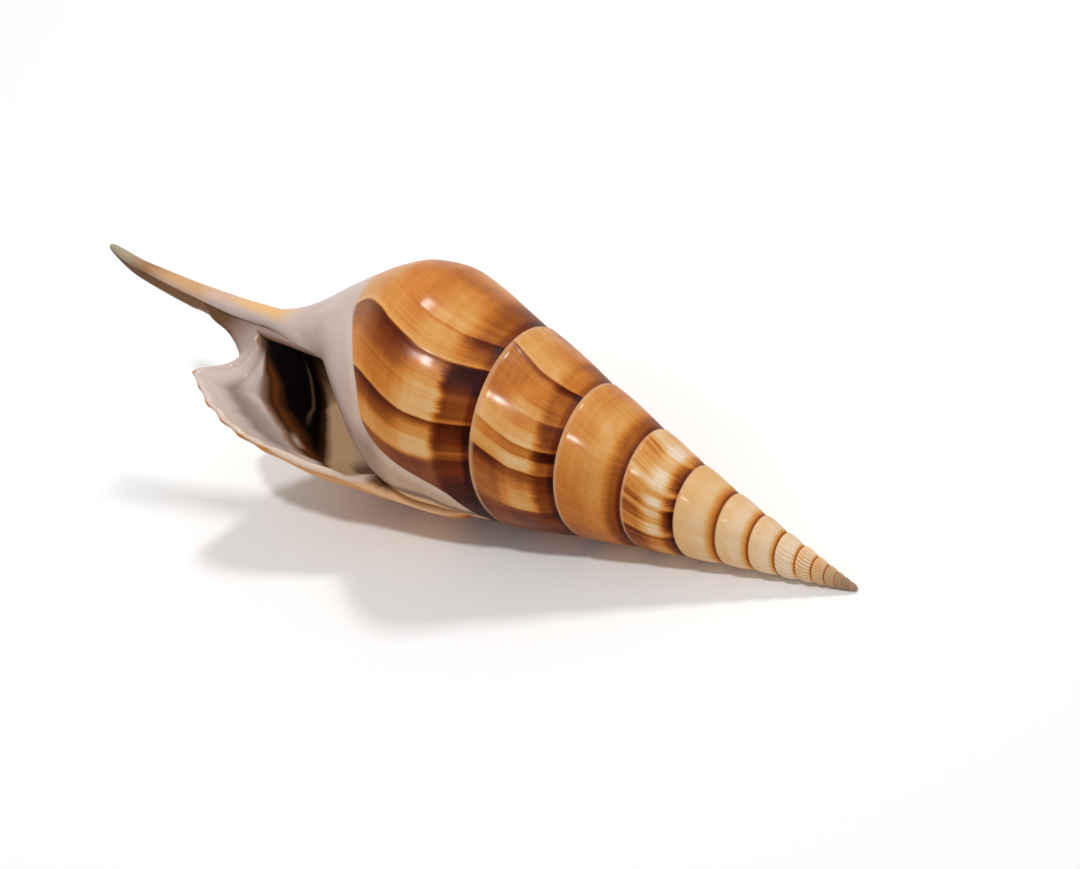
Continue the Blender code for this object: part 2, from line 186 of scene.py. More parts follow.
# Edge of the lip, from the back corner to the canal: (share, depth, radius, degrees round the axis).
LIP_EDGE = (
    (0.0, 61.0, 13.9, 175.0), (0.08, 65.5, 15.4, 175.5), (0.19, 71.7, 16.3, 173.0),
    (0.36, 81.6, 17.25, 170.0), (0.45, 88.2, 18.1, 168.0), (0.52, 93.5, 18.05, 166.0),
    (0.58, 99.3, 17.35, 163.5), (0.62, 103.4, 16.0, 160.5), (0.66, 107.6, 13.7, 157.0),
    (0.69, 110.4, 11.3, 154.0), (0.715, 109.9, 9.7, 160.0), (0.74, 108.9, 8.0, 171.0),
    (0.77, 108.3, 6.4, 181.0), (0.81, 109.8, 4.6, 184.0), (0.86, 112.3, 3.1, 184.0),
    (0.92, 115.0, 2.3, 168.0), (1.0, 118.0, 0.85, 123.0),
)

# Blunt teeth on the front of the lip: (share, height, half width as a share).
LIP_TEETH = (
    (0.533, 0.22, 0.011), (0.572, 0.35, 0.01), (0.607, 0.42, 0.009), (0.64, 0.45, 0.008),
    (0.664, 0.25, 0.005), (0.69, 0.55, 0.007),
)

# Pearl in the mouth's front corner: degrees in from the lip, share along it, size and height; its way up.
PEARL = (9.0, 0.78, 1.0, 0.8)
PEARL_WAY = (-0.12, 0.08, 0.99)

# Wall thickness seen from the middle of the hollow, from its back end to its front end.
HOLLOW_WALL = ((0.0, 2.0), (0.1, 1.7), (0.35, 1.15), (0.6, 1.2), (0.85, 1.9), (1.0, 2.4))

# How far a growth line leans, in degrees, across the whorl from its upper seam: on the last turn, on older
# ones, and how much more on the last turn's newer half.
LEAN_LAST = (
    (0.0, 0.0), (0.2, -3.5), (0.4, -5.8), (0.6, -5.9), (0.8, -3.0), (1.0, 1.5), (1.2, 4.7), (1.35, 2.5),
    (1.5, -4.0), (1.6, -9.0), (1.9, -24.0), (2.6, -40.0),
)
LEAN_OLDER = ((0.0, 0.0), (0.25, -3.8), (0.45, -4.0), (0.7, -0.9), (1.0, 4.5))
LEAN_NEWER = (
    (0.0, 0.0), (0.2, -1.0), (0.6, -2.2), (1.0, -3.9), (1.2, -3.3), (1.35, -0.3), (1.5, 3.0), (2.6, 3.0),
)

# Edge of the porcelain glaze beside the mouth: (depth, growth angle in degrees).
GLAZE_EDGE = (
    (58.0, -178.0), (60.5, -161.0), (62.0, -152.0), (65.0, -144.5), (67.5, -140.5), (71.0, -133.0),
    (74.5, -123.0), (75.8, -116.0), (77.3, -105.0), (79.6, -95.5), (82.5, -85.0), (85.2, -75.0),
    (86.6, -64.0), (88.0, -52.0), (90.5, -38.0), (100.0, -22.0), (110.0, -22.0), (120.0, -30.0),
    (140.0, -40.0),
)

# Old lip lines that stand up a little: (growth line in degrees, height), and how wide their ridges are.
OLD_LIPS = (
    (-49.4, 0.05), (-66.0, 0.16), (-100.2, 0.15), (-112.4, 0.06), (-121.5, 0.08), (-404.5, 0.14),
    (-455.4, 0.12), (-472.0, 0.07), (-504.0, 0.08), (28.0, 0.1), (74.0, 0.12), (118.0, 0.1), (-222.0, 0.1),
    (-286.0, 0.1), (-338.0, 0.1),
)
OLD_LIP_WIDTH = 1.5

# Growth angles, in degrees, over which the ribs of the first whorls die out and the leans change over.
RIB_FADE = (-2900.0, -2450.0)
LEAN_CHANGE = (-350.0, -175.0)
NEWER_CHANGE = (-110.0, -65.0)

# Bead along the lower seam of a whorl: height as a share of depth, place across the whorl, and width.
SEAM_BEAD = (0.0016, 0.965, 0.018)

# How the glaze rises at its edge, and where it dies out: growth angles in degrees, and depths on the canal.
GLAZE_RISE = (-0.1, 0.7)
GLAZE_END = (-84.0, -68.0)
GLAZE_CANAL_END = (112.0, 122.0)
GLAZE_REACH = 30.0


def curve(points, column=1):
    """Smooth curve through stations that never overshoots them, carried on straight past both ends."""
    xs = np.array([p[0] for p in points], dtype=float)
    ys = np.array([p[column] for p in points], dtype=float)
    step = np.diff(xs)
    rise = np.diff(ys) / step
    w1 = 2.0 * step[1:] + step[:-1]
    w2 = step[1:] + 2.0 * step[:-1]
    same = rise[:-1] * rise[1:] > 0.0
    safe0 = np.where(same, rise[:-1], 1.0)
    safe1 = np.where(same, rise[1:], 1.0)
    slope = np.zeros_like(ys)
    slope[1:-1] = np.where(same, (w1 + w2) / (w1 / safe0 + w2 / safe1), 0.0)
    slope[0] = rise[0]
    slope[-1] = rise[-1]

    def at(x):
        x = np.asarray(x, dtype=float)
        i = np.clip(np.searchsorted(xs, x) - 1, 0, len(step) - 1)
        t = (x - xs[i]) / step[i]
        c = np.clip(t, 0.0, 1.0)
        value = ys[i] * (2 * c**3 - 3 * c**2 + 1) + ys[i + 1] * (3 * c**2 - 2 * c**3)
        value = value + step[i] * (slope[i] * (c**3 - 2 * c**2 + c) + slope[i + 1] * (c**3 - c**2))
        value = value + np.where(t < 0.0, slope[0] * step[0] * t, 0.0)
        return value + np.where(t > 1.0, slope[-1] * step[-1] * (t - 1.0), 0.0)

    return at


body_radius = curve(BODY_PROFILE)
pillar_radius = curve(PILLAR_PROFILE)
axis_bend = curve(AXIS_BEND)
edge_depth, edge_radius, edge_angle = (curve(LIP_EDGE, column) for column in (1, 2, 3))
hollow_wall = curve(HOLLOW_WALL)
lean_last = curve(LEAN_LAST)
lean_older = curve(LEAN_OLDER)
lean_newer = curve(LEAN_NEWER)
glaze_edge = curve(GLAZE_EDGE)


def ease(start, end, x):
    """Zero before start, one after end, smooth between."""
    t = np.clip((x - start) / (end - start), 0.0, 1.0)
    return t * t * (3.0 - 2.0 * t)


def fade(start, end, x):
    """One before start, zero after end, smooth between."""
    return 1.0 - ease(start, end, x)


def mix(first, second, share):
    return first + (second - first) * share


def bell(x, middle, width):
    return np.exp(-(((x - middle) / width) ** 2))


def soft_cap(x, cap):
    """x held below cap, with a soft shoulder."""
    return cap - CAP_SOFTNESS * np.logaddexp(0.0, (cap - x) / CAP_SOFTNESS)


def soft_union(a, b, fillet):
    """The larger of two radii with a fillet where they meet."""
    overlap = np.maximum(fillet - np.abs(a - b), 0.0) / fillet
    return np.maximum(a, b) + overlap * overlap * fillet * 0.25


def lip_teeth(share):
    """Height of the lip's teeth at a share along its edge."""
    return sum(height * bell(share, at, width) for at, height, width in LIP_TEETH)


def regular_seam_depth(angle):
    return SEAM_DEPTH * np.exp(DEPTH_GROWTH * angle)


def regular_seam_radius(angle):
    return SEAM_RADIUS * np.exp(RADIUS_GROWTH * angle)


def seam_depth(angle):
    """Depth of the seam, which climbs a little where the lip ends."""
    end = regular_seam_depth(LIP_ANGLE)
    climb = 1.0 - (1.0 - LIP_TOP_DEPTH / end) * ease(SEAM_CLIMB_ANGLE, LIP_ANGLE, angle)
    return regular_seam_depth(angle) * climb


def pillar_scale(angle):
    return np.exp(RADIUS_GROWTH * np.minimum(angle - LAST_START, 0.0))


def depth_scale(angle):
    return np.exp(DEPTH_GROWTH * soft_cap(angle, DEPTH_CAP))


def early_scale(angle):
    """Size before the last turn, as a share of the size at its start."""
    return math.exp(DEPTH_GROWTH * min(angle - LAST_START, 0.0))


def free_turn(angle, depth):
    """Radius of a whole turn, with the pillar inside it, before the next turn wraps it."""
    widen = np.exp(RADIUS_GROWTH * soft_cap(angle, WIDTH_CAP))
    station = depth / depth_scale(angle)
    worn = ease(*DENT_FADE, angle) * np.exp(-PROFILE_FADE * np.maximum(LAST_START - angle, 0.0))
    dent = OLD_LIP_DENT * worn * bell(station, DENT_DEPTH, DENT_WIDTH)
    scale = pillar_scale(angle)
    body = (body_radius(station) - dent) * widen
    return soft_union(body, pillar_radius(depth) * scale, CANAL_FILLET * scale)


def seated_turn(angle, depth, at_seam):
    """Radius of a turn drawn in to its seam."""
    top = seam_depth(angle)
    return free_turn(angle, depth) + (at_seam - free_turn(angle, top)) * fade(0.0, SEAM_DRAW, depth - top)


def spire_turn(angle, depth):
    """Radius of a spire turn: nearly flat sides, turned in sharply at the lower seam."""
    top = regular_seam_depth(angle)
    height = top * WHORL_HEIGHT
    x = np.clip((depth - top) / height, 0.0, 1.0)
    sides = mix(regular_seam_radius(angle), regular_seam_radius(angle + TURN), x)
    bulge = mix(WHORL_BULGE, EARLY_WHORL_BULGE, ease(*BULGE_CHANGE, angle))
    return sides + bulge * height * x**BULGE_UPPER * (1.0 - x) ** BULGE_LOWER


def outside(angle, depth):
    """Radius of the shell's outside at any growth angle before the last turn."""
    share = ease(LAST_START - BLEND_BACK, LAST_START, angle)
    seated = seated_turn(angle, depth, regular_seam_radius(angle))
    return (1.0 - share) * spire_turn(angle, depth) + share * seated


def seam_radius(angle):
    """Radius where a turn meets the turn above it."""
    angle = np.asarray(angle, dtype=float)
    late = angle >= LAST_START - BLEND_BACK + TURN
    return np.where(late, outside(angle - TURN, seam_depth(angle)), regular_seam_radius(angle))


def last_turn(angle, depth):
    return seated_turn(angle, depth, seam_radius(angle))


def twist(depth):
    """Lead of the growth lines towards the canal."""
    return CANAL_TWIST * ease(*CANAL_TWIST_DEPTHS, depth)


def place(depth, radius, turned):
    """Points from depth, radius and angle round the bent axis."""
    depth, radius, turned = np.broadcast_arrays(depth, radius, turned)
    across = axis_bend(depth) + radius * np.cos(turned)
    return np.stack([-depth, across, radius * np.sin(turned)], axis=-1)


def canal_groove(depth, off_seam):
    """Depth of the open groove along the canal."""
    cut = GROOVE_SHARE * pillar_radius(depth) * ease(*GROOVE_END, depth) * ease(*GROOVE_START, depth)
    return cut * bell(off_seam, 0.0, GROOVE_WIDTH)


def seam_band_end(angle):
    """Depth where the band beside the seam hands over to the columns that reach the lip."""
    top = seam_depth(angle)
    rise = ease(LAST_START, LAST_START + SEAM_BAND_RISE, angle)
    early = mix(LIP_TOP_DEPTH, mix(top, CANAL_JOIN, SEAM_BAND), rise)
    late = mix(top, CANAL_JOIN, SEAM_BAND * fade(LIP_BACK, LIP_ANGLE, angle))
    return np.where(angle < 0.0, early, late)


def lip_shares():
    """Shares along the lip edge, closer together round the notch."""
    x = np.linspace(0.0, 1.0, SHARE_SAMPLES)
    total = np.cumsum(1.0 + 2.0 * bell(x, NOTCH_SHARE, NOTCH_WIDTH))
    total = (total - total[0]) / (total[-1] - total[0])
    return np.interp(np.linspace(0.0, 1.0, LIP_STEPS + 1), total, x)


def edge_row_depth(shares):
    """Depth to note for points along the lip, from its back corner to the canal."""
    return mix(LIP_TOP_DEPTH, CANAL_JOIN, shares)


def lip_row(angle, depth):
    """Outside of the last turn at one growth angle; past LIP_BACK it flows out to the lip edge."""
    if angle <= LIP_BACK:
        turned = angle + twist(depth / early_scale(angle))
        return place(depth, last_turn(turned, depth), -turned)
    q = (angle - LIP_BACK) / (LIP_ANGLE - LIP_BACK)
    band = seam_band_end(angle)
    share = np.clip((depth - band) / (CANAL_JOIN - band), 0.0, 1.0)
    depth_end = mix(seam_band_end(LIP_ANGLE), CANAL_JOIN, share)
    depth_start = mix(seam_band_end(LIP_BACK), CANAL_JOIN, share)
    turned_end = TURN - np.radians(edge_angle(share) - TOOTH_LEAN * lip_teeth(share))
    turned = mix(LIP_BACK + twist(depth_start), turned_end, q)
    meet = (seam_radius(LIP_ANGLE) - edge_radius(0.0)) * fade(0.0, 0.05, share)
    edge = edge_radius(share) + lip_teeth(share) + meet
    pull = q**FLARE_POWER
    out_depth = depth + pull * (edge_depth(share) - depth_end)
    out_radius = last_turn(turned, depth) + pull * (edge - last_turn(turned_end, depth_end))
    flared = place(out_depth, out_radius, -turned)
    plain = place(depth, last_turn(angle, depth), -angle)
    return np.where((depth < band - SAME_DEPTH)[:, None], plain, flared)


def wrapped_row(angle, depth):
    """Surface of the turn before, as it lies under the last turn."""
    turned = angle + twist(depth / early_scale(angle))
    return place(depth, free_turn(turned - TURN, depth), -turned)


def inner_face(angle, share, outer):
    """Inside of the wall: the outer row moved towards the middle of the hollow."""
    q = min(max((angle - LIP_BACK) / (LIP_ANGLE - LIP_BACK), 0.0), 1.0)
    size = float(depth_scale(angle))
    way = -(angle + twist(HOLLOW_TWIST_DEPTH))
    inward = place(HOLLOW_CENTRE_DEPTH * size, HOLLOW_CENTRE_RADIUS * size, way) - outer
    inward = inward / np.linalg.norm(inward, axis=1)[:, None]
    wall = hollow_wall(share) * (1.0 - q**3) + LIP_THICKNESS * q**3
    return outer + inward * wall[:, None]


def closing(share):
    """One where roof and floor of the hollow stand apart, falling to zero where they meet."""
    opens, closes = HOLLOW_CLOSING
    return (ease(*opens, share) * fade(*closes, share))[:, None]


class Sheet:
    """A grid of points with what the finish needs to know at each of them."""

    marks = ("angle", "depth", "across", "inside", "share", "floor")

    def __init__(self, points, angle, *marks):
        self.points = points
        values = (np.degrees(angle), *marks) + (0.0,) * (len(self.marks) - 1 - len(marks))
        for name, value in zip(self.marks, values):
            setattr(self, name, np.broadcast_to(value, points.shape[:2]))


def across_whorl(angle, depth):
    """Share across the whorl from its upper seam; past one it runs on down to the canal."""
    return (depth - seam_depth(angle)) / (regular_seam_depth(angle) * WHORL_HEIGHT)


def growth_line(angle, across):
    """Growth line in degrees that passes through a point."""
    lean = lean_older(np.minimum(across, 1.0))
    last = lean_last(across) + lean_newer(across) * ease(*NEWER_CHANGE, angle)
    return angle - lean - (last - lean) * ease(*LEAN_CHANGE, angle)


def glaze_reach(sheet):
    """How far each point lies inside the edge of the porcelain glaze."""
    radius = radius_of(sheet)
    slope = np.radians(1.0) * (glaze_edge(sheet.depth + 0.5) - glaze_edge(sheet.depth - 0.5))
    reach = (glaze_edge(sheet.depth) - sheet.angle) * np.radians(1.0) * radius
    return reach / np.sqrt(1.0 + (slope * radius) ** 2)


def spire_sheet(columns):
    rows = int(round(SPIRE_TURNS * STEPS_PER_TURN))
    angle = (LAST_START - TURN_STEP * np.arange(rows, -1, -1))[:, None]
    depth = mix(seam_depth(angle), seam_depth(angle + TURN), columns[None, :])
    radius = outside(angle, depth)
    radius[:, 0] = seam_radius(angle[:, 0])
    radius[:, -1] = seam_radius(angle[:, 0] + TURN)
    points = place(depth, radius, -angle)
    return Sheet(points, angle, depth, across_whorl(angle, depth), 0.0, columns[None, :])


def canal_depths():
    """Depths of the steps along the canal, closer together towards its tip."""
    left = 1.0 - np.linspace(0.0, 1.0, CANAL_STEPS + 1)[1:]
    return mix(CANAL_JOIN, CANAL_TIP, 1.0 - left**1.3)


def body_sheet(columns, shares, spire):
    """Last turn from its start to where the lip begins to spread."""
    rows = int(round((LIP_BACK - LAST_START) / TURN_STEP))
    angle = (LAST_START + TURN_STEP * np.arange(rows + 1))[:, None]
    band = seam_band_end(angle)
    near = mix(seam_depth(angle), band, columns[None, :-1])
    far = mix(band, CANAL_JOIN, shares[None, :])
    depth = np.concatenate([near, far, canal_depths()[None, :] + 0.0 * angle], axis=1)
    turned = angle + twist(depth)
    radius = last_turn(turned, depth) - canal_groove(depth, angle - LAST_START + 0.0 * depth)
    radius[:, -1] = 0.0
    points = place(depth, radius, -turned)
    first = len(spire) - 1 - STEPS_PER_TURN
    points[:, 0] = spire[first:first + rows + 1, -1]
    points[0, :len(columns)] = spire[-1]
    return Sheet(points, angle, depth, across_whorl(angle, depth))


def wing_sheet(columns, shares, spire, body):
    """Last quarter turn, spreading out to the lip edge and running on down the canal."""
    rows = int(round((LIP_ANGLE - LIP_BACK) / TURN_STEP))
    points = np.zeros((rows + 1, body.shape[1], 3))
    depths = np.zeros((rows + 1, body.shape[1]))
    angles = (LIP_BACK + TURN_STEP * np.arange(rows + 1))[:, None]
    canal = canal_depths()
    for j in range(rows + 1):
        angle = float(angles[j, 0])
        band = float(seam_band_end(angle))
        near = mix(float(seam_depth(angle)), band, columns[:-1])
        far = mix(band, CANAL_JOIN, shares)
        depths[j] = np.concatenate([near, far, canal])
        side = place(near, last_turn(angle, near), -angle)
        radius = pillar_radius(canal) - canal_groove(canal, LIP_ANGLE - angle)
        radius[-1] = 0.0
        tail = place(canal, radius, -(angle + CANAL_TWIST))
        points[j] = np.concatenate([side, lip_row(angle, far), tail])
    points[0] = body[-1]
    first = len(spire) - 1 - rows
    points[:, 0] = spire[first:, -1]
    points[-1, :len(columns)] = points[-1, 0]
    join = len(columns) + len(shares) - 2
    points[-1, join] = body[0, join]
    share = np.concatenate([0.0 * columns[:-1], shares, 1.0 + 0.0 * canal])
    return Sheet(points, angles, depths, across_whorl(angles, depths), 0.0, share[None, :])


def mouth_columns(shares):
    return [int(np.argmin(np.abs(shares - end))) for end in (MOUTH_BACK, MOUTH_FRONT)]


def mouth_edge(shares, edge, pillar):
    """Inner edge of the lip, running in to the turn before at both ends of the mouth."""
    back, front = mouth_columns(shares)
    along = np.clip((shares - shares[back]) / (shares[front] - shares[back]), 0.0, 1.0)
    inner = mix(pillar, inner_face(LIP_ANGLE, along, edge), closing(along))
    inner[:back + 1] = pillar[:back + 1]
    inner[front:] = pillar[front:]
    return inner


def rim_sheet(shares, edge, before, inner):
    """Rounded lip from its outer edge to its inner edge, hollowed into a gutter towards the canal."""
    forward = edge - before
    forward = forward / (np.linalg.norm(forward, axis=1)[:, None] + 1e-9)
    middle = (edge + inner) / 2.0
    half = (edge - inner) / 2.0
    swell = np.minimum(np.linalg.norm(half, axis=1), LIP_ROUNDING)
    swell = swell * (1.0 - 1.6 * ease(*GUTTER, shares))
    swell = swell * ease(0.0, 0.04, shares) * fade(0.93, 1.0, shares)
    steps = np.linspace(0.0, 1.0, RIM_STEPS + 1)
    by = (math.pi * steps)[:, None, None]
    points = middle[None] + np.cos(by) * half[None] + np.sin(by) * (swell[:, None] * forward)[None]
    points[0] = edge
    points[-1] = inner
    return Sheet(points, LIP_ANGLE, edge_row_depth(shares)[None, :], 1.0, steps[:, None], shares[None, :])


def hollow_loop(angle, depths, share):
    """Roof and floor of the hollow at one growth angle, as one closed loop, and its middle."""
    floor = wrapped_row(angle, depths)
    roof = mix(floor, inner_face(angle, share, lip_row(angle, depths)), closing(share))
    along, up = HOLLOW_MIDDLE
    k = int(len(share) * along)
    return np.concatenate([roof, floor[1:-1][::-1]]), mix(floor[k], roof[k], up)


def hollow_sheet(shares, inner, pillar):
    """Hollow of the last turn, from the mouth back to a blind end."""
    back, front = mouth_columns(shares)
    share = (shares[back:front + 1] - shares[back]) / (shares[front] - shares[back])
    mouth = edge_row_depth(shares)
    loops = [np.concatenate([inner[back:front + 1], pillar[back + 1:front][::-1]])]
    angles = [LIP_ANGLE]
    count = int(round(HOLLOW_TURNS * STEPS_PER_TURN / HOLLOW_STRIDE))
    for j in range(1, count + 1):
        angle = LIP_ANGLE - TURN_STEP * HOLLOW_STRIDE * j
        settle = float(ease(0.0, HOLLOW_SETTLE, LIP_ANGLE - angle))
        top = float(seam_depth(angle)) + HOLLOW_BACK_GAP * early_scale(angle)
        low = mix(mouth[back], top, settle)
        high = mix(mouth[front], HOLLOW_FRONT_DEPTH * float(depth_scale(angle)), settle)
        loop, middle = hollow_loop(angle, mix(low, high, share), share)
        blind = max((j - (count - HOLLOW_BLIND_STEPS)) / HOLLOW_BLIND_STEPS, 0.0)
        loops.append(mix(middle, loop, math.sqrt(1.0 - 0.97 * blind * blind)))
        angles.append(angle)
    loops.append(mix(middle, loops[-1], 0.5))
    loops.append(mix(middle, loops[-1], 0.0))
    angles += [angle, angle]
    points = np.array(loops)
    points = np.concatenate([points, points[:, :1]], axis=1)
    lip_share = shares[back:front + 1]
    along = np.concatenate([lip_share, lip_share[1:-1][::-1], lip_share[:1]])
    floor = np.concatenate([0.0 * lip_share, 1.0 + 0.0 * lip_share[1:-1], lip_share[:1] * 0.0])
    angles = np.array(angles)[:, None]
    inside = 1.0 + np.degrees(LIP_ANGLE - angles)
    depth = edge_row_depth(along)
    return Sheet(points, angles, depth[None, :], 1.0, inside, along[None, :], floor[None, :])


def apex_sheet(spire):
    """Small dome that closes the first turn."""
    loop = np.concatenate([spire.points[:STEPS_PER_TURN, 0], spire.points[0, ::-1]])
    middle = loop[:-1].mean(axis=0)
    tip = np.array([-APEX_DEPTH, middle[1], middle[2]])
    lift = np.array([1.0, 0.0, 0.0])
    off = loop - tip
    steps = np.radians(APEX_STEPS)
    rows = [tip + off * lift * (1.0 - math.sin(a)) + off * (1.0 - lift) * math.cos(a) for a in steps]
    first = math.radians(float(spire.angle[0, 0]))
    return Sheet(np.array(rows), first, float(spire.depth[0, 0]), 0.5)


def whorl_sheet(columns, shares, spire):
    """The whole last turn, from under the lip's back corner round to the lip edge."""
    body = body_sheet(columns, shares, spire)
    wing = wing_sheet(columns, shares, spire, body.points)
    whole = Sheet(np.concatenate([body.points, wing.points[1:]]), 0.0)
    for name in Sheet.marks:
        setattr(whole, name, np.concatenate([getattr(body, name), getattr(wing, name)[1:]]))
    return whole


def outward(points):
    """Outward direction at each point of a grid; zero where the grid closes up."""
    normal = np.cross(np.gradient(points, axis=0), np.gradient(points, axis=1))
    length = np.linalg.norm(normal, axis=2, keepdims=True)
    return normal / np.maximum(length, 1e-9) * (length > 1e-9)


def radius_of(sheet):
    return np.hypot(sheet.points[..., 1] - axis_bend(sheet.depth), sheet.points[..., 2])


def ribs(sheet, sizes):
    """Upright ribs on the first whorls, dying out towards the later ones."""
    size = regular_seam_depth(np.radians(sheet.angle)) * WHORL_HEIGHT
    rise = np.cos(np.radians(sheet.angle - lean_older(sheet.share)) * sizes.rib_count)
    span = np.sqrt(np.clip(np.sin(np.pi * np.clip(sheet.share, 0.0, 1.0)), 0.0, 1.0))
    return fade(*RIB_FADE, sheet.angle) * span * rise * size * sizes.rib_height


def old_lips(sheet):
    """Low ridges where the lip rested while the shell was growing."""
    line = growth_line(sheet.angle, sheet.across)
    rise = sum(height * bell(line, at, OLD_LIP_WIDTH) for at, height in OLD_LIPS)
    return rise * ease(0.0, 0.12, sheet.across) * fade(1.5, 1.9, sheet.across)


def spire_relief(sheet, sizes):
    """Height added to the spire's skin: ribs, old lips and a bead along the lower seam."""
    edge = ease(0.0, 0.06, sheet.share) * fade(0.985, 1.0, sheet.share)
    start = fade(-180.0, -175.0, sheet.angle) * ease(0.0, 8.0, sheet.angle - sheet.angle[:1, :1])
    height, at, width = SEAM_BEAD
    bead = height * regular_seam_depth(np.radians(sheet.angle)) * bell(sheet.share, at, width)
    return (old_lips(sheet) + ribs(sheet, sizes) + bead) * edge * start


def whorl_relief(sheet, sizes):
    """Height added to the last turn: old lips and the thickness of the porcelain glaze."""
    reach = glaze_reach(sheet)
    glaze = sizes.glaze_thickness / MM * ease(*GLAZE_RISE, reach) * fade(*GLAZE_END, sheet.angle)
    glaze = glaze * fade(*GLAZE_CANAL_END, sheet.depth)
    rows = ease(-175.0, -170.0, sheet.angle) * fade(176.0, 184.0, sheet.angle)
    return (old_lips(sheet) * fade(-0.3, 0.0, reach) + glaze) * rows * ease(0.0, 0.05, sheet.across)


def add_pearl(rim, hollow):
    """Raise a small pearl at the front corner of the mouth."""
    inside, share, size, height = PEARL
    row = int(np.argmin(np.abs(hollow.inside[:, 0] - inside)))
    column = int(np.argmin(np.abs(hollow.share[row] - share) + 9.0 * hollow.floor[row]))
    centre = hollow.points[row, column]
    way = np.array(PEARL_WAY) / np.linalg.norm(PEARL_WAY)
    for sheet in (rim, hollow):
        off = np.linalg.norm(sheet.points - centre, axis=2) / size
        sheet.points = sheet.points + (height * fade(0.0, 1.0, off))[..., None] * way


def shell_sheets(sizes):
    """All the grids that close up into the shell, with their relief."""
    columns = 1.0 - (1.0 - np.linspace(0.0, 1.0, SEAM_STEPS + 1)) ** 1.25
    shares = lip_shares()
    spire = spire_sheet(columns)
    whorl = whorl_sheet(columns, shares, spire.points)
    lip = slice(SEAM_STEPS, SEAM_STEPS + LIP_STEPS + 1)
    edge = whorl.points[-1, lip]
    pillar = whorl.points[0, lip]
    inner = mouth_edge(shares, edge, pillar)
    rim = rim_sheet(shares, edge, whorl.points[-2, lip], inner)
    hollow = hollow_sheet(shares, inner, pillar)
    apex = apex_sheet(spire)
    for sheet, relief in ((spire, spire_relief), (whorl, whorl_relief)):
        sheet.points = sheet.points + outward(sheet.points) * relief(sheet, sizes)[..., None]
    add_pearl(rim, hollow)
    return [spire, whorl, rim, hollow, apex]


def rest_axes():
    """Rows that carry the coil's own axes to the way the shell lies on a table."""
    flat = math.cos(REST_DIP)
    up = np.array([-math.sin(REST_DIP), flat * math.cos(REST_TURN), flat * math.sin(REST_TURN)])
    along = np.array([1.0, 0.0, 0.0]) - up * up[0]
    along = along / np.linalg.norm(along)
    return np.array([along, np.cross(up, along), up])


def lying_base(sheets):
    """Middle of the bottom of the box round the turned shell, in millimetres."""
    turned = np.concatenate([sheet.points.reshape(-1, 3) @ rest_axes().T for sheet in sheets])
    low = turned.min(axis=0)
    high = turned.max(axis=0)
    return np.array([(low[0] + high[0]) / 2.0, (low[1] + high[1]) / 2.0, low[2]])


def to_table(point, base):
    """A point of the coil's own axes, in millimetres, as it stands on the table, in metres."""
    return (np.asarray(point) @ rest_axes().T - base) * MM


def nothing_selected():
    for item in bpy.context.view_layer.objects:
        item.select_set(False)
    bpy.context.view_layer.objects.active = None


def add_grid(sheet, base, name):
    """One grid, added flat and set out along the coil, with its growth coordinates."""
    rows, across = sheet.points.shape[:2]
    nothing_selected()
    bpy.ops.mesh.primitive_grid_add(x_subdivisions=across - 1, y_subdivisions=rows - 1, size=0.1)
    grid = bpy.context.active_object
    grid.name = name
    mesh = grid.data
    mesh.vertices.foreach_set("co", to_table(sheet.points, base).astype(np.float32).ravel())
    corners = np.zeros(len(mesh.loops), dtype=np.int64)
    mesh.loops.foreach_get("vertex_index", corners)
    while mesh.uv_layers:
        mesh.uv_layers.remove(mesh.uv_layers[0])
    pairs = {
        "growth": (growth_line(sheet.angle, sheet.across), sheet.across),
        "place": (sheet.angle, np.clip(glaze_reach(sheet), -GLAZE_REACH, GLAZE_REACH)),
        "mouth": (sheet.inside, sheet.share),
        "side": (sheet.floor, sheet.depth),
    }
    for label, pair in pairs.items():
        values = np.stack([part.ravel()[corners] for part in pair], axis=1)
        layer = mesh.uv_layers.new(name=label)
        layer.uv.foreach_set("vector", values.astype(np.float32).ravel())
    return grid


def join_grids(grids, name):
    """Grids welded into one closed skin that faces outwards."""
    nothing_selected()
    for grid in grids:
        grid.select_set(True)
    bpy.context.view_layer.objects.active = grids[0]
    bpy.ops.object.join()
    skin = bpy.context.active_object
    skin.name = name
    skin.data.name = name
    bpy.ops.object.mode_set(mode="EDIT")
    bpy.ops.mesh.select_all(action="SELECT")
    bpy.ops.mesh.remove_doubles(threshold=1e-6)
    bpy.ops.mesh.dissolve_degenerate(threshold=1e-7)
    bpy.ops.mesh.flip_normals()
    bpy.ops.object.mode_set(mode="OBJECT")
    bpy.ops.object.shade_smooth_by_angle(angle=math.radians(50.0))
    bpy.ops.object.transform_apply(location=True, rotation=True, scale=True)
    return skin


class Wire:
    """One value in a material. Arithmetic on it adds Math nodes; colours go through Board.blend instead."""

    def __init__(self, board, socket):
        self.board = board
        self.socket = socket

    def math(self, operation, other=None, first=False):
        values = [self] if other is None else ([other, self] if first else [self, other])
        return self.board.node("ShaderNodeMath", {"operation": operation}, dict(enumerate(values)))

    def __add__(self, other):
        return self.math("ADD", other)

    def __radd__(self, other):
        return self.math("ADD", other, True)

    def __sub__(self, other):
        return self.math("SUBTRACT", other)

    def __rsub__(self, other):
        return self.math("SUBTRACT", other, True)

    def __mul__(self, other):
        return self.math("MULTIPLY", other)

    def __truediv__(self, other):
        return self.math("DIVIDE", other)

    def __abs__(self):
        return self.math("ABSOLUTE")

    def clamp(self):
        return self.board.node("ShaderNodeClamp", {}, {"Value": self})


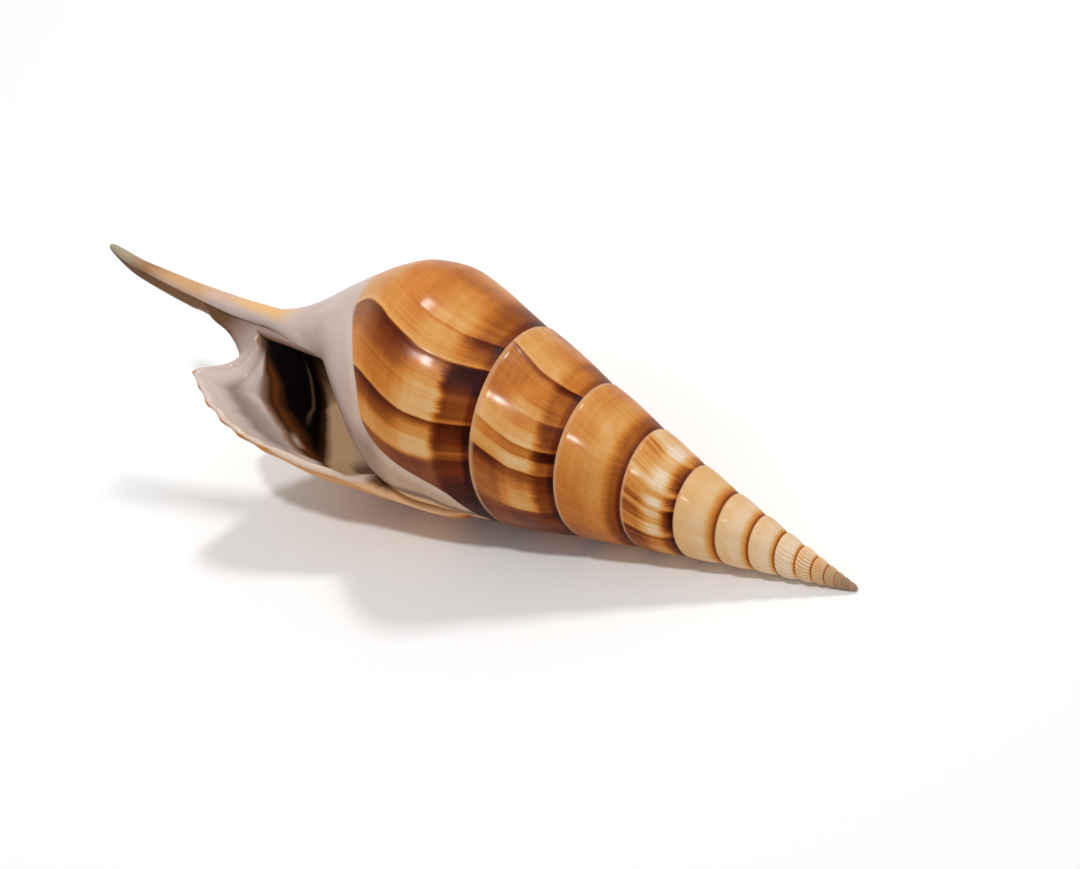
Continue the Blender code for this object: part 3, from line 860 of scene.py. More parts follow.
class Board:
    """Lays out a material's nodes."""

    def __init__(self, name):
        self.material = bpy.data.materials.new(name)
        self.material.use_nodes = True
        self.tree = self.material.node_tree
        self.tree.nodes.clear()

    def node(self, kind, settings, sockets, out=0):
        made = self.tree.nodes.new(kind)
        for key, value in settings.items():
            if key == "stops":
                self.set_stops(made.color_ramp, value)
            else:
                setattr(made, key, value)
        for key, value in sockets.items():
            target = made.inputs[key]
            if isinstance(value, Wire):
                self.tree.links.new(value.socket, target)
            else:
                target.default_value = value
        return Wire(self, made.outputs[out]) if len(made.outputs) else None

    @staticmethod
    def set_stops(ramp, stops):
        while len(ramp.elements) > 1:
            ramp.elements.remove(ramp.elements[-1])
        for index, (at, colour) in enumerate(stops):
            element = ramp.elements[0] if index == 0 else ramp.elements.new(at)
            element.position = at
            element.color = colour

    def split(self, wire):
        """The three parts of a vector."""
        parts = self.node("ShaderNodeSeparateXYZ", {}, {0: wire}).socket.node.outputs
        return [Wire(self, part) for part in parts]

    def pair(self, name):
        """The two numbers stored in one of the piece's own maps."""
        return self.split(self.node("ShaderNodeUVMap", {"uv_map": name}, {}))[:2]

    def step(self, value, low, high):
        """Zero below low, one above high, smooth between."""
        settings = {"interpolation_type": "SMOOTHSTEP"}
        return self.node("ShaderNodeMapRange", settings, {0: value, 1: low, 2: high, 3: 0.0, 4: 1.0})

    def fall(self, value, low, high):
        """One below low, zero above high, smooth between."""
        return 1.0 - self.step(value, low, high)

    def between(self, value, start, full, fading, end):
        """Zero up to start, one from full to fading, zero from end on."""
        return self.step(value, start, full) * self.fall(value, fading, end)

    def ramp(self, value, stops):
        """Colour read off stops that are given in the value's own units."""
        low = stops[0][0]
        high = stops[-1][0]
        share = self.node("ShaderNodeMapRange", {}, {0: value, 1: low, 2: high, 3: 0.0, 4: 1.0})
        scaled = [((at - low) / (high - low), colour) for at, colour in stops]
        return self.node("ShaderNodeValToRGB", {"stops": scaled}, {0: share})

    def levels(self, value, stops):
        """Number read off stops of (place, number)."""
        return self.ramp(value, [(at, (number, number, number, 1.0)) for at, number in stops])

    def blend(self, share, first, second):
        settings = {"data_type": "RGBA", "clamp_factor": True}
        return self.node("ShaderNodeMix", settings, {0: share, 6: first, 7: second}, out=2)

    def pick(self, share, first, second):
        """Number that goes from first to second."""
        return self.node("ShaderNodeMix", {"data_type": "FLOAT"}, {0: share, 2: first, 3: second})

    def noise(self, x, y, slice_at, detail=2.0, rough=0.5):
        """Soft random number, from minus a half to a half; each use takes a slice of its own."""
        at = self.node("ShaderNodeCombineXYZ", {}, {0: x, 1: y, 2: slice_at})
        sockets = {"Vector": at, "Scale": 1.0, "Detail": detail, "Roughness": rough}
        return self.node("ShaderNodeTexNoise", {}, sockets) - 0.5

    def surface(self, sockets):
        """The finished material, with these sockets on its surface."""
        made = self.node("ShaderNodeBsdfPrincipled", {}, sockets)
        self.node("ShaderNodeOutputMaterial", {}, {"Surface": made})
        return self.material


def shade(red, green, blue):
    """Scene colour from the values a paint chart gives, 0 to 255."""
    parts = (red, green, blue)
    return tuple(c / 3294.6 if c <= 10.31 else ((c / 255.0 + 0.055) / 1.055) ** 2.4 for c in parts)


# Darkness along the growth lines, from cream at 0 to darkest chestnut at 1: (growth line in degrees,
# darkness). Each turn has three zones: under its upper seam, across its middle, and above its lower seam. The
# table for the back of a turn has a column for each zone, in that order, and the second turn's has the first
# two.
# The last turn's tables run dark from -178 to about -125 degrees: partly the skin's own dark band, partly
# painted shade on the turn's underside.
UPPER_LAST = (
    (-178, 0.96), (-150, 0.94), (-136, 0.92), (-130, 0.84), (-123, 0.9), (-121, 0.74), (-118.4, 0.66),
    (-117.4, 0.56), (-116.2, 0.74), (-110, 0.82), (-104, 0.92), (-101.2, 1.0), (-100.2, 0.46), (-98, 0.66),
    (-92, 0.72), (-86, 0.7), (-80, 0.88), (-74, 0.98), (-67.4, 1.0), (-66.2, 0.38), (-64, 0.5), (-59, 0.6),
    (-55, 0.68), (-50.4, 0.84), (-49.4, 0.9), (-48, 0.58), (-38, 0.58), (-24, 0.66), (-10, 0.74),
)
MIDDLE_LAST = (
    (-178, 0.8), (-136, 0.74), (-125, 0.74), (-122.6, 0.5), (-121, 0.27), (-117, 0.23), (-113.4, 0.28),
    (-112.4, 0.2), (-111.2, 0.33), (-107, 0.38), (-104, 0.52), (-101.2, 0.86), (-100.3, 0.18),
    (-98.5, 0.21), (-92, 0.22), (-84, 0.27), (-79, 0.38), (-72, 0.46), (-67.2, 0.6), (-66, 0.2),
    (-64.5, 0.29), (-57, 0.31), (-51, 0.33), (-49.6, 0.48), (-48.4, 0.31), (-40, 0.36), (-25, 0.42),
    (-14, 0.5), (-10, 0.5),
)
LOWER_LAST = (
    (-178, 0.92), (-165, 0.72), (-124, 0.66), (-121.5, 0.36), (-114, 0.4), (-111, 0.56), (-105, 0.72),
    (-101.3, 0.94), (-100.2, 0.34), (-98, 0.44), (-90, 0.5), (-84, 0.56), (-79, 0.68), (-72, 0.78),
    (-66.8, 0.88), (-65.6, 0.26), (-63, 0.38), (-54, 0.44), (-30, 0.47), (-10, 0.52),
)
LAST_BACK = (
    (-10, 0.74, 0.5, 0.52), (5, 0.72, 0.4, 0.48), (20, 0.8, 0.42, 0.62), (26.8, 0.96, 0.58, 0.84),
    (28, 0.46, 0.22, 0.28), (30, 0.62, 0.3, 0.42), (48, 0.66, 0.32, 0.48), (64, 0.8, 0.42, 0.66),
    (72.6, 0.98, 0.64, 0.88), (74, 0.42, 0.2, 0.28), (76, 0.62, 0.3, 0.42), (94, 0.68, 0.34, 0.48),
    (108, 0.84, 0.44, 0.66), (116.6, 0.98, 0.62, 0.84), (118, 0.46, 0.22, 0.28), (120, 0.62, 0.32, 0.42),
    (140, 0.68, 0.34, 0.46), (158, 0.74, 0.38, 0.5), (172, 0.6, 0.34, 0.42), (188, 0.4, 0.24, 0.3),
)
UPPER_SECOND = (
    (-538, 0.92), (-527, 0.8), (-518, 0.74), (-506, 0.9), (-504, 0.72), (-490, 0.76), (-478, 0.86),
    (-474, 0.9), (-472.5, 0.62), (-464, 0.62), (-463, 0.9), (-456.4, 0.98), (-455.4, 0.46), (-452, 0.66),
    (-440, 0.74), (-436.5, 0.74), (-435.2, 0.48), (-432, 0.56), (-412, 0.58), (-409, 0.8), (-405.4, 0.96),
    (-404.2, 0.4), (-400, 0.48), (-388, 0.5), (-375, 0.56), (-358, 0.66),
)
MIDDLE_SECOND = (
    (-538, 0.78), (-524, 0.76), (-505.2, 0.74), (-504, 0.36), (-500, 0.3), (-488, 0.36), (-483, 0.5),
    (-476, 0.66), (-473.2, 0.74), (-472, 0.3), (-468, 0.22), (-463.6, 0.26), (-462.8, 0.5), (-458, 0.52),
    (-456.4, 0.58), (-455.4, 0.2), (-452, 0.28), (-446, 0.3), (-444, 0.42), (-436.6, 0.46), (-435.4, 0.3),
    (-430, 0.33), (-427, 0.44), (-412, 0.46), (-408.5, 0.5), (-405.4, 0.74), (-404.2, 0.24), (-400, 0.3),
    (-386, 0.36), (-380, 0.44), (-358, 0.47),
)
LOWER_SECOND = (
    (-538, 0.76), (-506, 0.72), (-503, 0.58), (-490, 0.58), (-480, 0.64), (-474, 0.84), (-472.6, 0.86),
    (-471.4, 0.36), (-468, 0.3), (-463.4, 0.32), (-462.4, 0.44), (-456.4, 0.48), (-455.4, 0.26),
    (-450, 0.32), (-441, 0.36), (-438, 0.5), (-420, 0.52), (-409, 0.52), (-405.4, 0.74), (-404.2, 0.26),
    (-400, 0.32), (-380, 0.34), (-370, 0.4), (-358, 0.59),
)
SECOND_BACK = (
    (-358, 0.66, 0.47), (-345, 0.78, 0.5), (-339.2, 0.94, 0.66), (-338, 0.42, 0.22), (-335, 0.56, 0.3),
    (-315, 0.62, 0.34), (-300, 0.76, 0.44), (-287.2, 0.94, 0.66), (-286, 0.42, 0.2), (-284, 0.56, 0.3),
    (-262, 0.62, 0.34), (-240, 0.74, 0.42), (-223.2, 0.96, 0.68), (-222, 0.42, 0.22), (-220, 0.6, 0.34),
    (-200, 0.76, 0.48), (-188, 0.88, 0.62), (-178, 0.96, 0.8),
)
# The third turn runs darker towards its older end, -902 to -850 degrees, as painted shade on its lower,
# shaded side.
THIRD_TURN = (
    (-902, 0.52), (-880, 0.48), (-850, 0.42), (-820, 0.36), (-790, 0.31), (-760, 0.31), (-742, 0.36),
    (-716, 0.4), (-690, 0.46), (-688, 0.26), (-684, 0.34), (-640, 0.38), (-610, 0.44), (-600, 0.58),
    (-598, 0.28), (-594, 0.36), (-560, 0.46), (-538, 0.76),
)
UPPER_FOURTH = (
    (-1262, 0.8), (-1226, 0.78), (-1219, 0.86), (-1216, 0.66), (-1212, 0.5), (-1208, 0.66), (-1200, 0.86),
    (-1192, 0.82), (-1186, 0.94), (-1182, 0.9), (-1180, 0.46), (-1177, 0.5), (-1172, 0.7), (-1166, 0.72),
    (-1163, 0.34), (-1159, 0.36), (-1156, 0.66), (-1146, 0.72), (-1130, 0.66), (-1118, 0.6), (-1113, 0.36),
    (-1106, 0.42), (-1090, 0.56), (-1060, 0.7), (-1030, 0.5), (-990, 0.7), (-940, 0.6), (-902, 0.7),
)
MIDDLE_FOURTH = (
    (-1262, 0.4), (-1240, 0.42), (-1224, 0.5), (-1219, 0.62), (-1216, 0.3), (-1210, 0.12), (-1203, 0.16),
    (-1198, 0.36), (-1194, 0.4), (-1191, 0.2), (-1187, 0.18), (-1184, 0.34), (-1181, 0.28), (-1178, 0.04),
    (-1172, 0.06), (-1169, 0.36), (-1164, 0.42), (-1161, 0.16), (-1152, 0.08), (-1140, 0.12), (-1134, 0.26),
    (-1126, 0.32), (-1122, 0.2), (-1118, 0.26), (-1114, 0.1), (-1106, 0.02), (-1098, 0.1), (-1090, 0.22),
    (-1050, 0.14), (-1030, 0.4), (-990, 0.16), (-902, 0.4),
)
LOWER_FOURTH = (
    (-1262, 0.66), (-1234, 0.64), (-1218, 0.78), (-1215, 0.44), (-1204, 0.42), (-1198, 0.62), (-1192, 0.66),
    (-1189, 0.44), (-1185, 0.4), (-1183, 0.62), (-1180, 0.58), (-1177, 0.38), (-1168, 0.36), (-1165, 0.44),
    (-1161, 0.28), (-1156, 0.16), (-1150, 0.34), (-1130, 0.4), (-1126, 0.5), (-1122, 0.36), (-1118, 0.54),
    (-1115, 0.3), (-1110, 0.14), (-1098, 0.18), (-1090, 0.26), (-1050, 0.4), (-1030, 0.5), (-990, 0.3),
    (-902, 0.44),
)
SPIRE_TONE = (
    (-4675, 0.22), (-3700, 0.18), (-3050, 0.14), (-2750, 0.05), (-2500, 0.06), (-2200, 0.1), (-1870, 0.11),
    (-1500, 0.16), (-1262, 0.2),
)

# Where the upper zone ends and the lower one begins, as a share across the whorl, and how softly.
ZONE_TOP = (
    (-4000, 0.09), (-2800, 0.11), (-1700, 0.17), (-1262, 0.2), (-900, 0.22), (-540, 0.27), (-470, 0.23),
    (-445, 0.23), (-405, 0.3), (-360, 0.31), (-178, 0.36), (-105, 0.35), (-94, 0.32), (-66, 0.36),
    (-58, 0.29), (185, 0.32),
)
ZONE_TOP_BLUR = (
    (-4000, 0.06), (-1700, 0.14), (-900, 0.12), (-540, 0.08), (-178, 0.08), (-68, 0.05), (-62, 0.13),
    (185, 0.13),
)
ZONE_LOW = ((-1262, 0.58), (-900, 0.52), (-540, 0.6), (-178, 0.68), (185, 0.72))
ZONE_LOW_BLUR = ((-1262, 0.16), (-900, 0.16), (-540, 0.11), (-178, 0.14), (185, 0.14))
ZONE_TABLES = (ZONE_TOP, ZONE_TOP_BLUR, ZONE_LOW, ZONE_LOW_BLUR)

# Polish by growth line, and softness of the glaze's edge by growth angle.
POLISH = ((-4600, 0.0), (-2700, 0.15), (-1300, 0.45), (-600, 1.0), (185, 1.0))
GLAZE_SOFTNESS = ((-180, 0.03), (-82, 0.03), (-66, 0.3), (-40, 0.5), (0, 0.6))

# Crease at the lip's back corner, where shade is painted: (depth, growth angle past -184 degrees in hundreds
# of degrees).
CREASE_PLACE = ((58, 0.12), (63, 0.18), (66, 0.24), (70, 0.24), (73, 0.2), (76, 0.12))

# Where the pale inner edge of the lip reaches out to its teeth, along the lip.
TOOTH_TIPS = (
    (0.5, 0.0), (0.533, 1.0), (0.552, 0.0), (0.572, 1.0), (0.59, 0.0), (0.607, 1.0), (0.624, 0.0),
    (0.64, 1.0), (0.655, 0.0), (0.664, 1.0), (0.675, 0.0), (0.69, 1.0), (0.706, 0.0),
)

# Where the dark opening starts and ends: (share along the lip, how far in, in hundreds of degrees).
OPENING_START = (
    (0.5, 0.44), (0.54, 0.36), (0.57, 0.31), (0.6, 0.33), (0.63, 0.36), (0.66, 0.4), (0.7, 0.43),
    (0.74, 0.46), (0.765, 0.46), (0.78, 0.36), (0.8, 0.32),
)
OPENING_END = (
    (0.5, 0.28), (0.54, 0.34), (0.57, 0.41), (0.6, 0.47), (0.65, 0.57), (0.7, 0.68), (0.74, 0.79),
    (0.77, 0.92), (0.8, 1.0),
)


def column(table, index, more=0.0):
    """One zone's darkness from a table that has a column for each zone."""
    return tuple((row[0], row[index] + more) for row in table)


# Growth lines, in degrees, where the bands of one turn hand over to the next.
SPIRE_END = (-1275.0, -1255.0)
FOURTH_END = (-903.0, -901.0)
THIRD_END = (-538.5, -537.5)

# The zones on the older turns: table of the fourth, then what is added to the third, to the fourth and to the
# spire. The zones on the newer turns: tables in the order that they follow on.
OLDER_ZONES = (
    (UPPER_FOURTH, 0.28, 0.0, 0.36),
    (MIDDLE_FOURTH, 0.0, -0.05, 0.0),
    (LOWER_FOURTH, 0.07, 0.0, 0.05),
)
NEWER_ZONES = (
    (UPPER_SECOND, column(SECOND_BACK, 1), UPPER_LAST, column(LAST_BACK, 1)),
    (MIDDLE_SECOND, column(SECOND_BACK, 2), MIDDLE_LAST, column(LAST_BACK, 2)),
    (LOWER_SECOND, column(SECOND_BACK, 2, 0.12), LOWER_LAST, column(LAST_BACK, 3)),
)

# Where one skin hands over to the next, by growth angle in degrees, by share along the lip and by depth.
SPIRE_SKIN_END = (-185.0, -175.0)
LIP_SKIN_START = (181.0, 184.0)
LIP_ORANGE_END = (0.70, 0.74)
CANAL_BACK_START = (88.0, 100.0)
CANAL_FRONT_START = (113.0, 119.0)
OLD_TIP_END = (-4500.0, -2950.0)
YOUNG_START = (-1270.0, -600.0)

# Where the lip's edge and the mouth start, and where the mouth loses its polish, in degrees from the lip.
RIM_START = (0.001, 0.02)
MOUTH_START = (0.98, 1.5)
DEEP = (10.0, 35.0)

# Strength of the marks that show along the growth lines, and of the veins on the fourth turn.
FINE_LINES = 0.26
BROAD_LINES = 0.14
VEINS = 0.42
RIB_TONE = 0.09

# Strength of what lies over the bands: painted shade just under the upper seam, clouds, and streaks that run
# round the whorl.
SEAM_PAINTED_SHADE = 0.18
CLOUDS = 0.20
SPIRAL_STREAKS = 0.10


class Finish:
    """Material of the whole shell: banded skin, porcelain glaze, canal, lip and a dark inside painted as
    shade.
    """

    def __init__(self, colours, gloss, sizes):
        self.colours = colours
        self.gloss = gloss
        self.sizes = sizes
        self.board = Board("grown_shell")
        self.line, self.across = self.board.pair("growth")
        self.angle, self.glaze = self.board.pair("place")
        self.inside, self.share = self.board.pair("mouth")
        self.floor, self.depth = self.board.pair("side")

    def colour(self, name):
        return (*getattr(self.colours, name), 1.0)

    def ramp(self, value, *stops):
        """Colour read off stops of (place, colour name)."""
        return self.board.ramp(value, [(at, self.colour(name)) for at, name in stops])

    def over(self, base, share, name):
        """A named colour laid over the base."""
        return self.board.blend(share, base, self.colour(name))

    def fine_lines(self):
        """Hair lines that run along the growth lines."""
        b = self.board
        fine = b.noise(self.line * 0.9, self.across * 0.8, 3.0, 3.0, 0.6)
        broad = b.noise(self.line * 0.25, self.across * 0.6, 7.0)
        patchy = (b.noise(self.line * 0.05, self.across * 3.0, 21.0) * 3.0 + 0.55).clamp()
        return fine * patchy * FINE_LINES + broad * BROAD_LINES

    def along_turns(self, first, *turns):
        """Darkness read from one table after another, each from the growth line where it starts."""
        b = self.board
        tone = b.levels(self.line, first)
        for table in turns:
            start = table[0][0]
            tone = b.pick(b.step(self.line, start - 0.5, start + 0.5), tone, b.levels(self.line, table))
        return tone

    def zones(self):
        """Shares of the zone under the upper seam and of the zone above the lower seam."""
        b = self.board
        wander = b.noise(self.line * 0.12, 2.0, 5.0) * 0.06
        at = self.across + (wander + b.noise(self.line * 0.7, self.across * 1.5, 6.0) * 0.09)
        top, soft, low, edge = (b.levels(self.line, table) for table in ZONE_TABLES)
        return b.fall((at - top) / soft, -1.0, 1.0), b.step((at - low) / edge, -1.0, 1.0)

    def spire_tone(self):
        """Darkness of the first turns, with their ribs."""
        b = self.board
        turned = self.line * math.radians(self.sizes.rib_count)
        rib = turned.math("COSINE") * b.fall(self.line, *RIB_FADE)
        mottle = b.noise(self.line * 0.05, self.across, 11.0) * 0.12
        return b.levels(self.line, SPIRE_TONE) + mottle - rib * RIB_TONE

    def line_darkness(self):
        """Darkness of the bands, from zone to zone across the whorl and from turn to turn along it."""
        b = self.board
        upper, lower = self.zones()
        third = b.levels(self.line, THIRD_TURN)
        spire = self.spire_tone()
        early = b.fall(self.line, *SPIRE_END)
        fourth = b.fall(self.line, *FOURTH_END)
        newer = b.step(self.line, *THIRD_END)
        tones = []
        for (table, on_third, on_fourth, on_spire), tables in zip(OLDER_ZONES, NEWER_ZONES):
            tone = b.pick(fourth, third + on_third, b.levels(self.line, table) + on_fourth)
            tone = b.pick(early, tone, spire + on_spire)
            tones.append(b.pick(newer, tone, self.along_turns(*tables)))
        top, middle, bottom = tones
        veins = b.noise(self.line * 0.42, self.across * 0.8, 14.0) * VEINS * fourth * (1.0 - early)
        return b.pick(lower, b.pick(upper, middle, top), bottom) + veins

    def banded_skin(self):
        b = self.board
        marks = b.noise(self.line * 0.05, self.across * 3.5, 1.0) * CLOUDS
        marks = marks + b.noise(self.line * 0.015, self.across * 14.0, 9.0) * SPIRAL_STREAKS
        marks = (marks + self.fine_lines()) * (0.30 + b.step(self.line, *YOUNG_START) * 0.70)
        faded = b.step(self.across, 1.05, 1.5)
        # Painted shade darkens the skin just under each upper seam.
        tone = self.line_darkness() + b.fall(self.across, 0.03, 0.10) * SEAM_PAINTED_SHADE + marks - faded * 0.10
        skin = self.ramp(
            tone.clamp(),
            (0.0, "cream"), (0.18, "straw"), (0.32, "golden"), (0.46, "caramel"), (0.62, "brown"),
            (0.80, "chestnut"), (1.0, "darkest"),
        )
        skin = self.over(skin, faded * 0.30, "porcelain_tan")
        skin = self.over(skin, b.fall(self.line, *OLD_TIP_END) * 0.8, "old_tip")
        rim = b.step(self.share, 0.92, 0.965) * b.fall(self.angle, *SPIRE_SKIN_END)
        return self.over(skin, rim * 0.6, "seam_rim")

    def canal_skin(self):
        """Skin of the canal: amber at its root, pink tan and amber again along it, a greyed tip, and painted
        shadow along its underside on the lip's side.
        """
        b = self.board
        wander = b.noise(self.angle * 0.02, self.depth * 0.2, 4.0, 3.0, 0.6) * 7.0
        skin = self.ramp(
            self.depth + wander,
            (102.0, "amber"), (108.8, "amber"), (112.8, "canal_tan"), (116.0, "canal_tan"),
            (119.2, "canal_amber"), (124.0, "canal_amber"), (129.6, "canal_brown"), (134.4, "canal_tip"),
        )
        streak = b.noise(self.angle * 0.05, self.depth * 1.2, 9.0, 3.0, 0.6)
        skin = self.over(skin, (streak * 0.9).clamp(), "canal_tan")
        lines = b.noise(self.angle * 0.30, self.depth * 0.12, 17.0, 3.0, 0.6)
        cords = b.noise(self.angle * 0.01, self.depth * 1.6, 19.0) * 0.7
        back = b.step(self.angle, -60.0, 0.0) * b.fall(self.depth, 118.0, 127.0)
        skin = self.over(skin, ((lines + cords) * 1.8 + 0.25).clamp() * back * 0.7, "caramel")
        low = b.fall(self.angle + wander * 2.0, -150.0, -112.0) * b.fall(self.depth, 124.0, 130.0)
        skin = self.over(skin, low, "canal_tan")
        # Painted shadow along the canal's underside, on the lip's side.
        return self.over(skin, b.step(self.angle, 120.0, 150.0) * 0.9, "canal_shadow")

    def porcelain(self, canal):
        """Glaze beside the mouth, clouded, tan towards the lip's back corner, with painted shade where it
        turns in towards the mouth, running on into the canal.
        """
        b = self.board
        cloud = b.noise(self.angle * 0.03, self.depth * 0.12, 2.0, 3.0, 0.6)
        base = self.over(self.colour("porcelain"), (cloud + 0.5).clamp(), "porcelain_dark")
        far = self.depth + b.noise(self.angle * 0.05, self.depth * 0.2, 10.0) * 8.0
        base = self.over(base, b.fall(far, 68.0, 86.0) * 0.85, "porcelain_tan")
        edge = b.fall(self.glaze, 0.2, 2.2) * b.fall(self.angle, -100.0, -80.0)
        base = self.over(base, edge * 0.35, "porcelain_pale")
        # Painted shade where the glaze turns in towards the mouth, out of the light.
        turned_in_shade = b.fall(self.angle, -136.0, -116.0) * b.between(self.depth, 70.0, 74.0, 86.0, 94.0)
        base = self.over(base, turned_in_shade * 0.6, "canal_shadow")
        wander = b.noise(self.angle * 0.04, self.depth * 0.4, 5.0) * 20.0
        root = b.step(self.angle + wander, -144.0, -104.0) * b.step(self.depth, 100.5, 104.5)
        base = b.blend(root * 0.9, base, canal)
        return self.back_corner_crease_shade(b.blend(b.step(self.depth, *CANAL_FRONT_START), base, canal))

    def back_corner_crease_shade(self, base):
        """Painted shade in the crease where the glaze meets the back corner of the lip, with the lip's tan
        beyond it.
        """
        b = self.board
        off = self.angle + 184.0 - b.levels(self.depth, CREASE_PLACE) * 100.0
        near = b.fall(self.depth, 73.0, 76.0)
        base = self.over(base, b.fall(off, -4.0, -1.0) * near, "lip_tan")
        return self.over(base, b.between(off, -5.0, -1.5, 1.0, 5.0) * near * 0.8, "lip_crease_shade")

    def rim(self):
        """Rounded edge of the lip: golden outside, pale inside, with painted shade in a crease near its back
        corner and brown painted shade where it runs into the canal's gutter.
        """
        b = self.board
        # The brown bands near the back corner and towards the canal are painted shade in the crease and the
        # gutter.
        outer = self.ramp(
            self.share,
            (0.0, "lip_tan"), (0.30, "lip_tan"), (0.36, "lip_orange"), (0.50, "lip_orange"),
            (0.58, "lip_gold"), (0.71, "lip_gold"), (0.735, "porcelain"), (0.77, "porcelain_dark"),
            (0.86, "canal_shadow"), (1.0, "canal_shadow"),
        )
        inner = self.ramp(
            self.share,
            (0.0, "lip_tan"), (0.21, "lip_tan"), (0.245, "lip_crease_shade"), (0.275, "lip_crease_shade"),
            (0.30, "lip_peach"), (0.60, "lip_peach"), (0.67, "porcelain"), (0.80, "porcelain_dark"),
            (0.90, "canal_shadow"),
        )
        ragged = b.noise(self.share * 60.0, 1.0, 8.0, 3.0, 0.6) * 0.35
        teeth = b.levels(self.share, TOOTH_TIPS) * 0.30
        cord = b.fall(self.share, 0.28, 0.36) * 0.20
        return b.blend(b.step(self.inside + ragged - teeth - cord, 0.08, 0.36), outer, inner)

    def roof(self):
        """Porcelain inside the lip, pale at its edge, with painted shade in a valley along its front half."""
        b = self.board
        valley = b.noise(self.share * 7.0, self.inside * 0.02, 12.0) * 8.0
        roof = self.ramp(
            self.inside + valley,
            (0.0, "lip_peach"), (4.0, "lip_peach"), (9.0, "porcelain"), (22.0, "porcelain_dark"),
            (34.0, "porcelain"), (60.0, "porcelain"),
        )
        roof = self.over(roof, b.fall(self.share, 0.50, 0.58) * 0.6, "lip_peach")
        near = b.step(self.share, 0.60, 0.67) * b.fall(self.inside, 5.0, 11.0)
        roof = self.over(roof, near, "porcelain")
        # Painted shade in the valley inside the lip.
        shaded = b.between(self.inside, 14.0, 24.0, 32.0, 44.0)
        shaded = shaded * b.between(self.share, 0.55, 0.60, 0.70, 0.76)
        return self.over(roof, shaded * 0.45, "crease")

    def inner_wall(self, beyond):
        """Tan wall beyond the dark opening, streaked, with painted shade further in, in a crevice under it
        and under the glaze's edge at its front.
        """
        b = self.board
        # Brown next to the opening, and painted shade further in.
        wall = self.ramp(
            beyond,
            (0.0, "mouth_brown_and_shade"), (5.0, "inner_tan"), (14.0, "inner_tan"), (26.0, "inner_grey"),
            (70.0, "mouth_brown_and_shade"),
        )
        streaks = (b.noise(beyond * 0.22, self.share * 5.0, 15.0, 3.0, 0.6) * 3.0).clamp()
        wall = self.over(wall, streaks * b.step(beyond, 2.0, 6.0) * 0.8, "lip_peach")
        # Painted shade in the crevice, and at the front the painted shadow of the glaze's edge.
        crevice = b.between(beyond, 13.0, 17.0, 34.0, 44.0) * b.fall(self.share, 0.50, 0.56)
        wall = self.over(wall, crevice * 0.75, "mouth_brown_and_shade")
        return self.over(wall, b.step(self.share, 0.735, 0.775) * 0.85, "mouth_brown_and_shade")

    def mouth(self):
        """Inside of the lip: porcelain, a dark opening painted as shade with an orange edge, and the tan wall
        beyond it; the front corner and the floor of the hollow darken further in as painted shade.
        """
        b = self.board
        at = self.inside + b.noise(self.share * 14.0, self.inside * 0.06, 6.0) * 4.0
        before = at - b.levels(self.share, OPENING_START) * 100.0
        beyond = at - b.levels(self.share, OPENING_END) * 100.0
        # The dark opening: painted shade of the deep hollow, with a brown and orange edge.
        opening = self.ramp(
            before,
            (-5.0, "porcelain_dark"), (-1.0, "mouth_tan"), (2.0, "mouth_brown_and_shade"), (5.0, "mouth_orange"),
            (8.0, "mouth_brown_and_shade"), (12.0, "mouth_deep_shade"), (60.0, "mouth_deep_shade"),
        )
        inside = b.blend(b.step(before, -6.0, -2.0), self.roof(), opening)
        patch = b.levels(before, ((0.5, 0.0), (2.5, 0.6), (3.5, 0.6), (6.0, 0.0)))
        patch = patch * b.levels(self.share, ((0.595, 0.0), (0.625, 1.0), (0.640, 1.0), (0.670, 0.0)))
        inside = self.over(inside, patch, "lip_peach")
        bar = b.between(beyond, -13.0, -11.0, -10.5, -8.0) * b.step(self.share, 0.68, 0.76)
        inside = self.over(inside, bar * 0.15, "inner_tan")
        inside = b.blend(b.step(beyond, -5.0, 2.0), inside, self.inner_wall(beyond))
        # Front corner, darkening further in as painted shade.
        front = self.ramp(
            self.inside,
            (1.0, "porcelain_dark"), (14.0, "porcelain_tan"), (26.0, "crease"), (42.0, "mouth_deep_shade"),
            (60.0, "mouth_deep_shade"),
        )
        inside = b.blend(b.step(self.share, 0.768, 0.782) * 0.92, inside, front)
        pearl = b.fall(abs(self.inside - PEARL[0]), 2.0, 4.0)
        pearl = pearl * b.fall(abs(self.share - PEARL[1]), 0.006, 0.012)
        inside = self.over(inside, pearl * 0.9, "porcelain_pale")
        # Floor of the hollow, darkening further in as painted shade.
        floor = self.ramp(
            self.inside,
            (0.0, "porcelain_dark"), (8.0, "inner_grey"), (32.0, "mouth_tan"), (56.0, "mouth_brown_and_shade"),
            (90.0, "mouth_deep_shade"),
        )
        return b.blend(self.floor, inside, floor)

    def colour_wire(self):
        """Colour of the whole shell, one part laid over another."""
        b = self.board
        last = b.step(self.angle, *SPIRE_SKIN_END)
        canal = self.canal_skin()
        down = self.depth + b.noise(self.angle * 0.04, self.depth * 0.3, 8.0) * 4.0
        skin = b.blend(b.step(down, *CANAL_BACK_START) * last, self.banded_skin(), canal)
        soft = b.levels(self.angle, GLAZE_SOFTNESS) * 4.0
        skin = b.blend(b.step(self.glaze / soft, -1.0, 1.0) * last, skin, self.porcelain(canal))
        lip = b.step(self.angle, *LIP_SKIN_START)
        skin = self.over(skin, lip * b.fall(self.share, *LIP_ORANGE_END), "lip_orange")
        skin = self.over(skin, lip * b.step(self.share, *LIP_ORANGE_END), "porcelain_dark")
        skin = b.blend(b.step(self.inside, *RIM_START), skin, self.rim())
        return b.blend(b.step(self.inside, *MOUTH_START), skin, self.mouth())

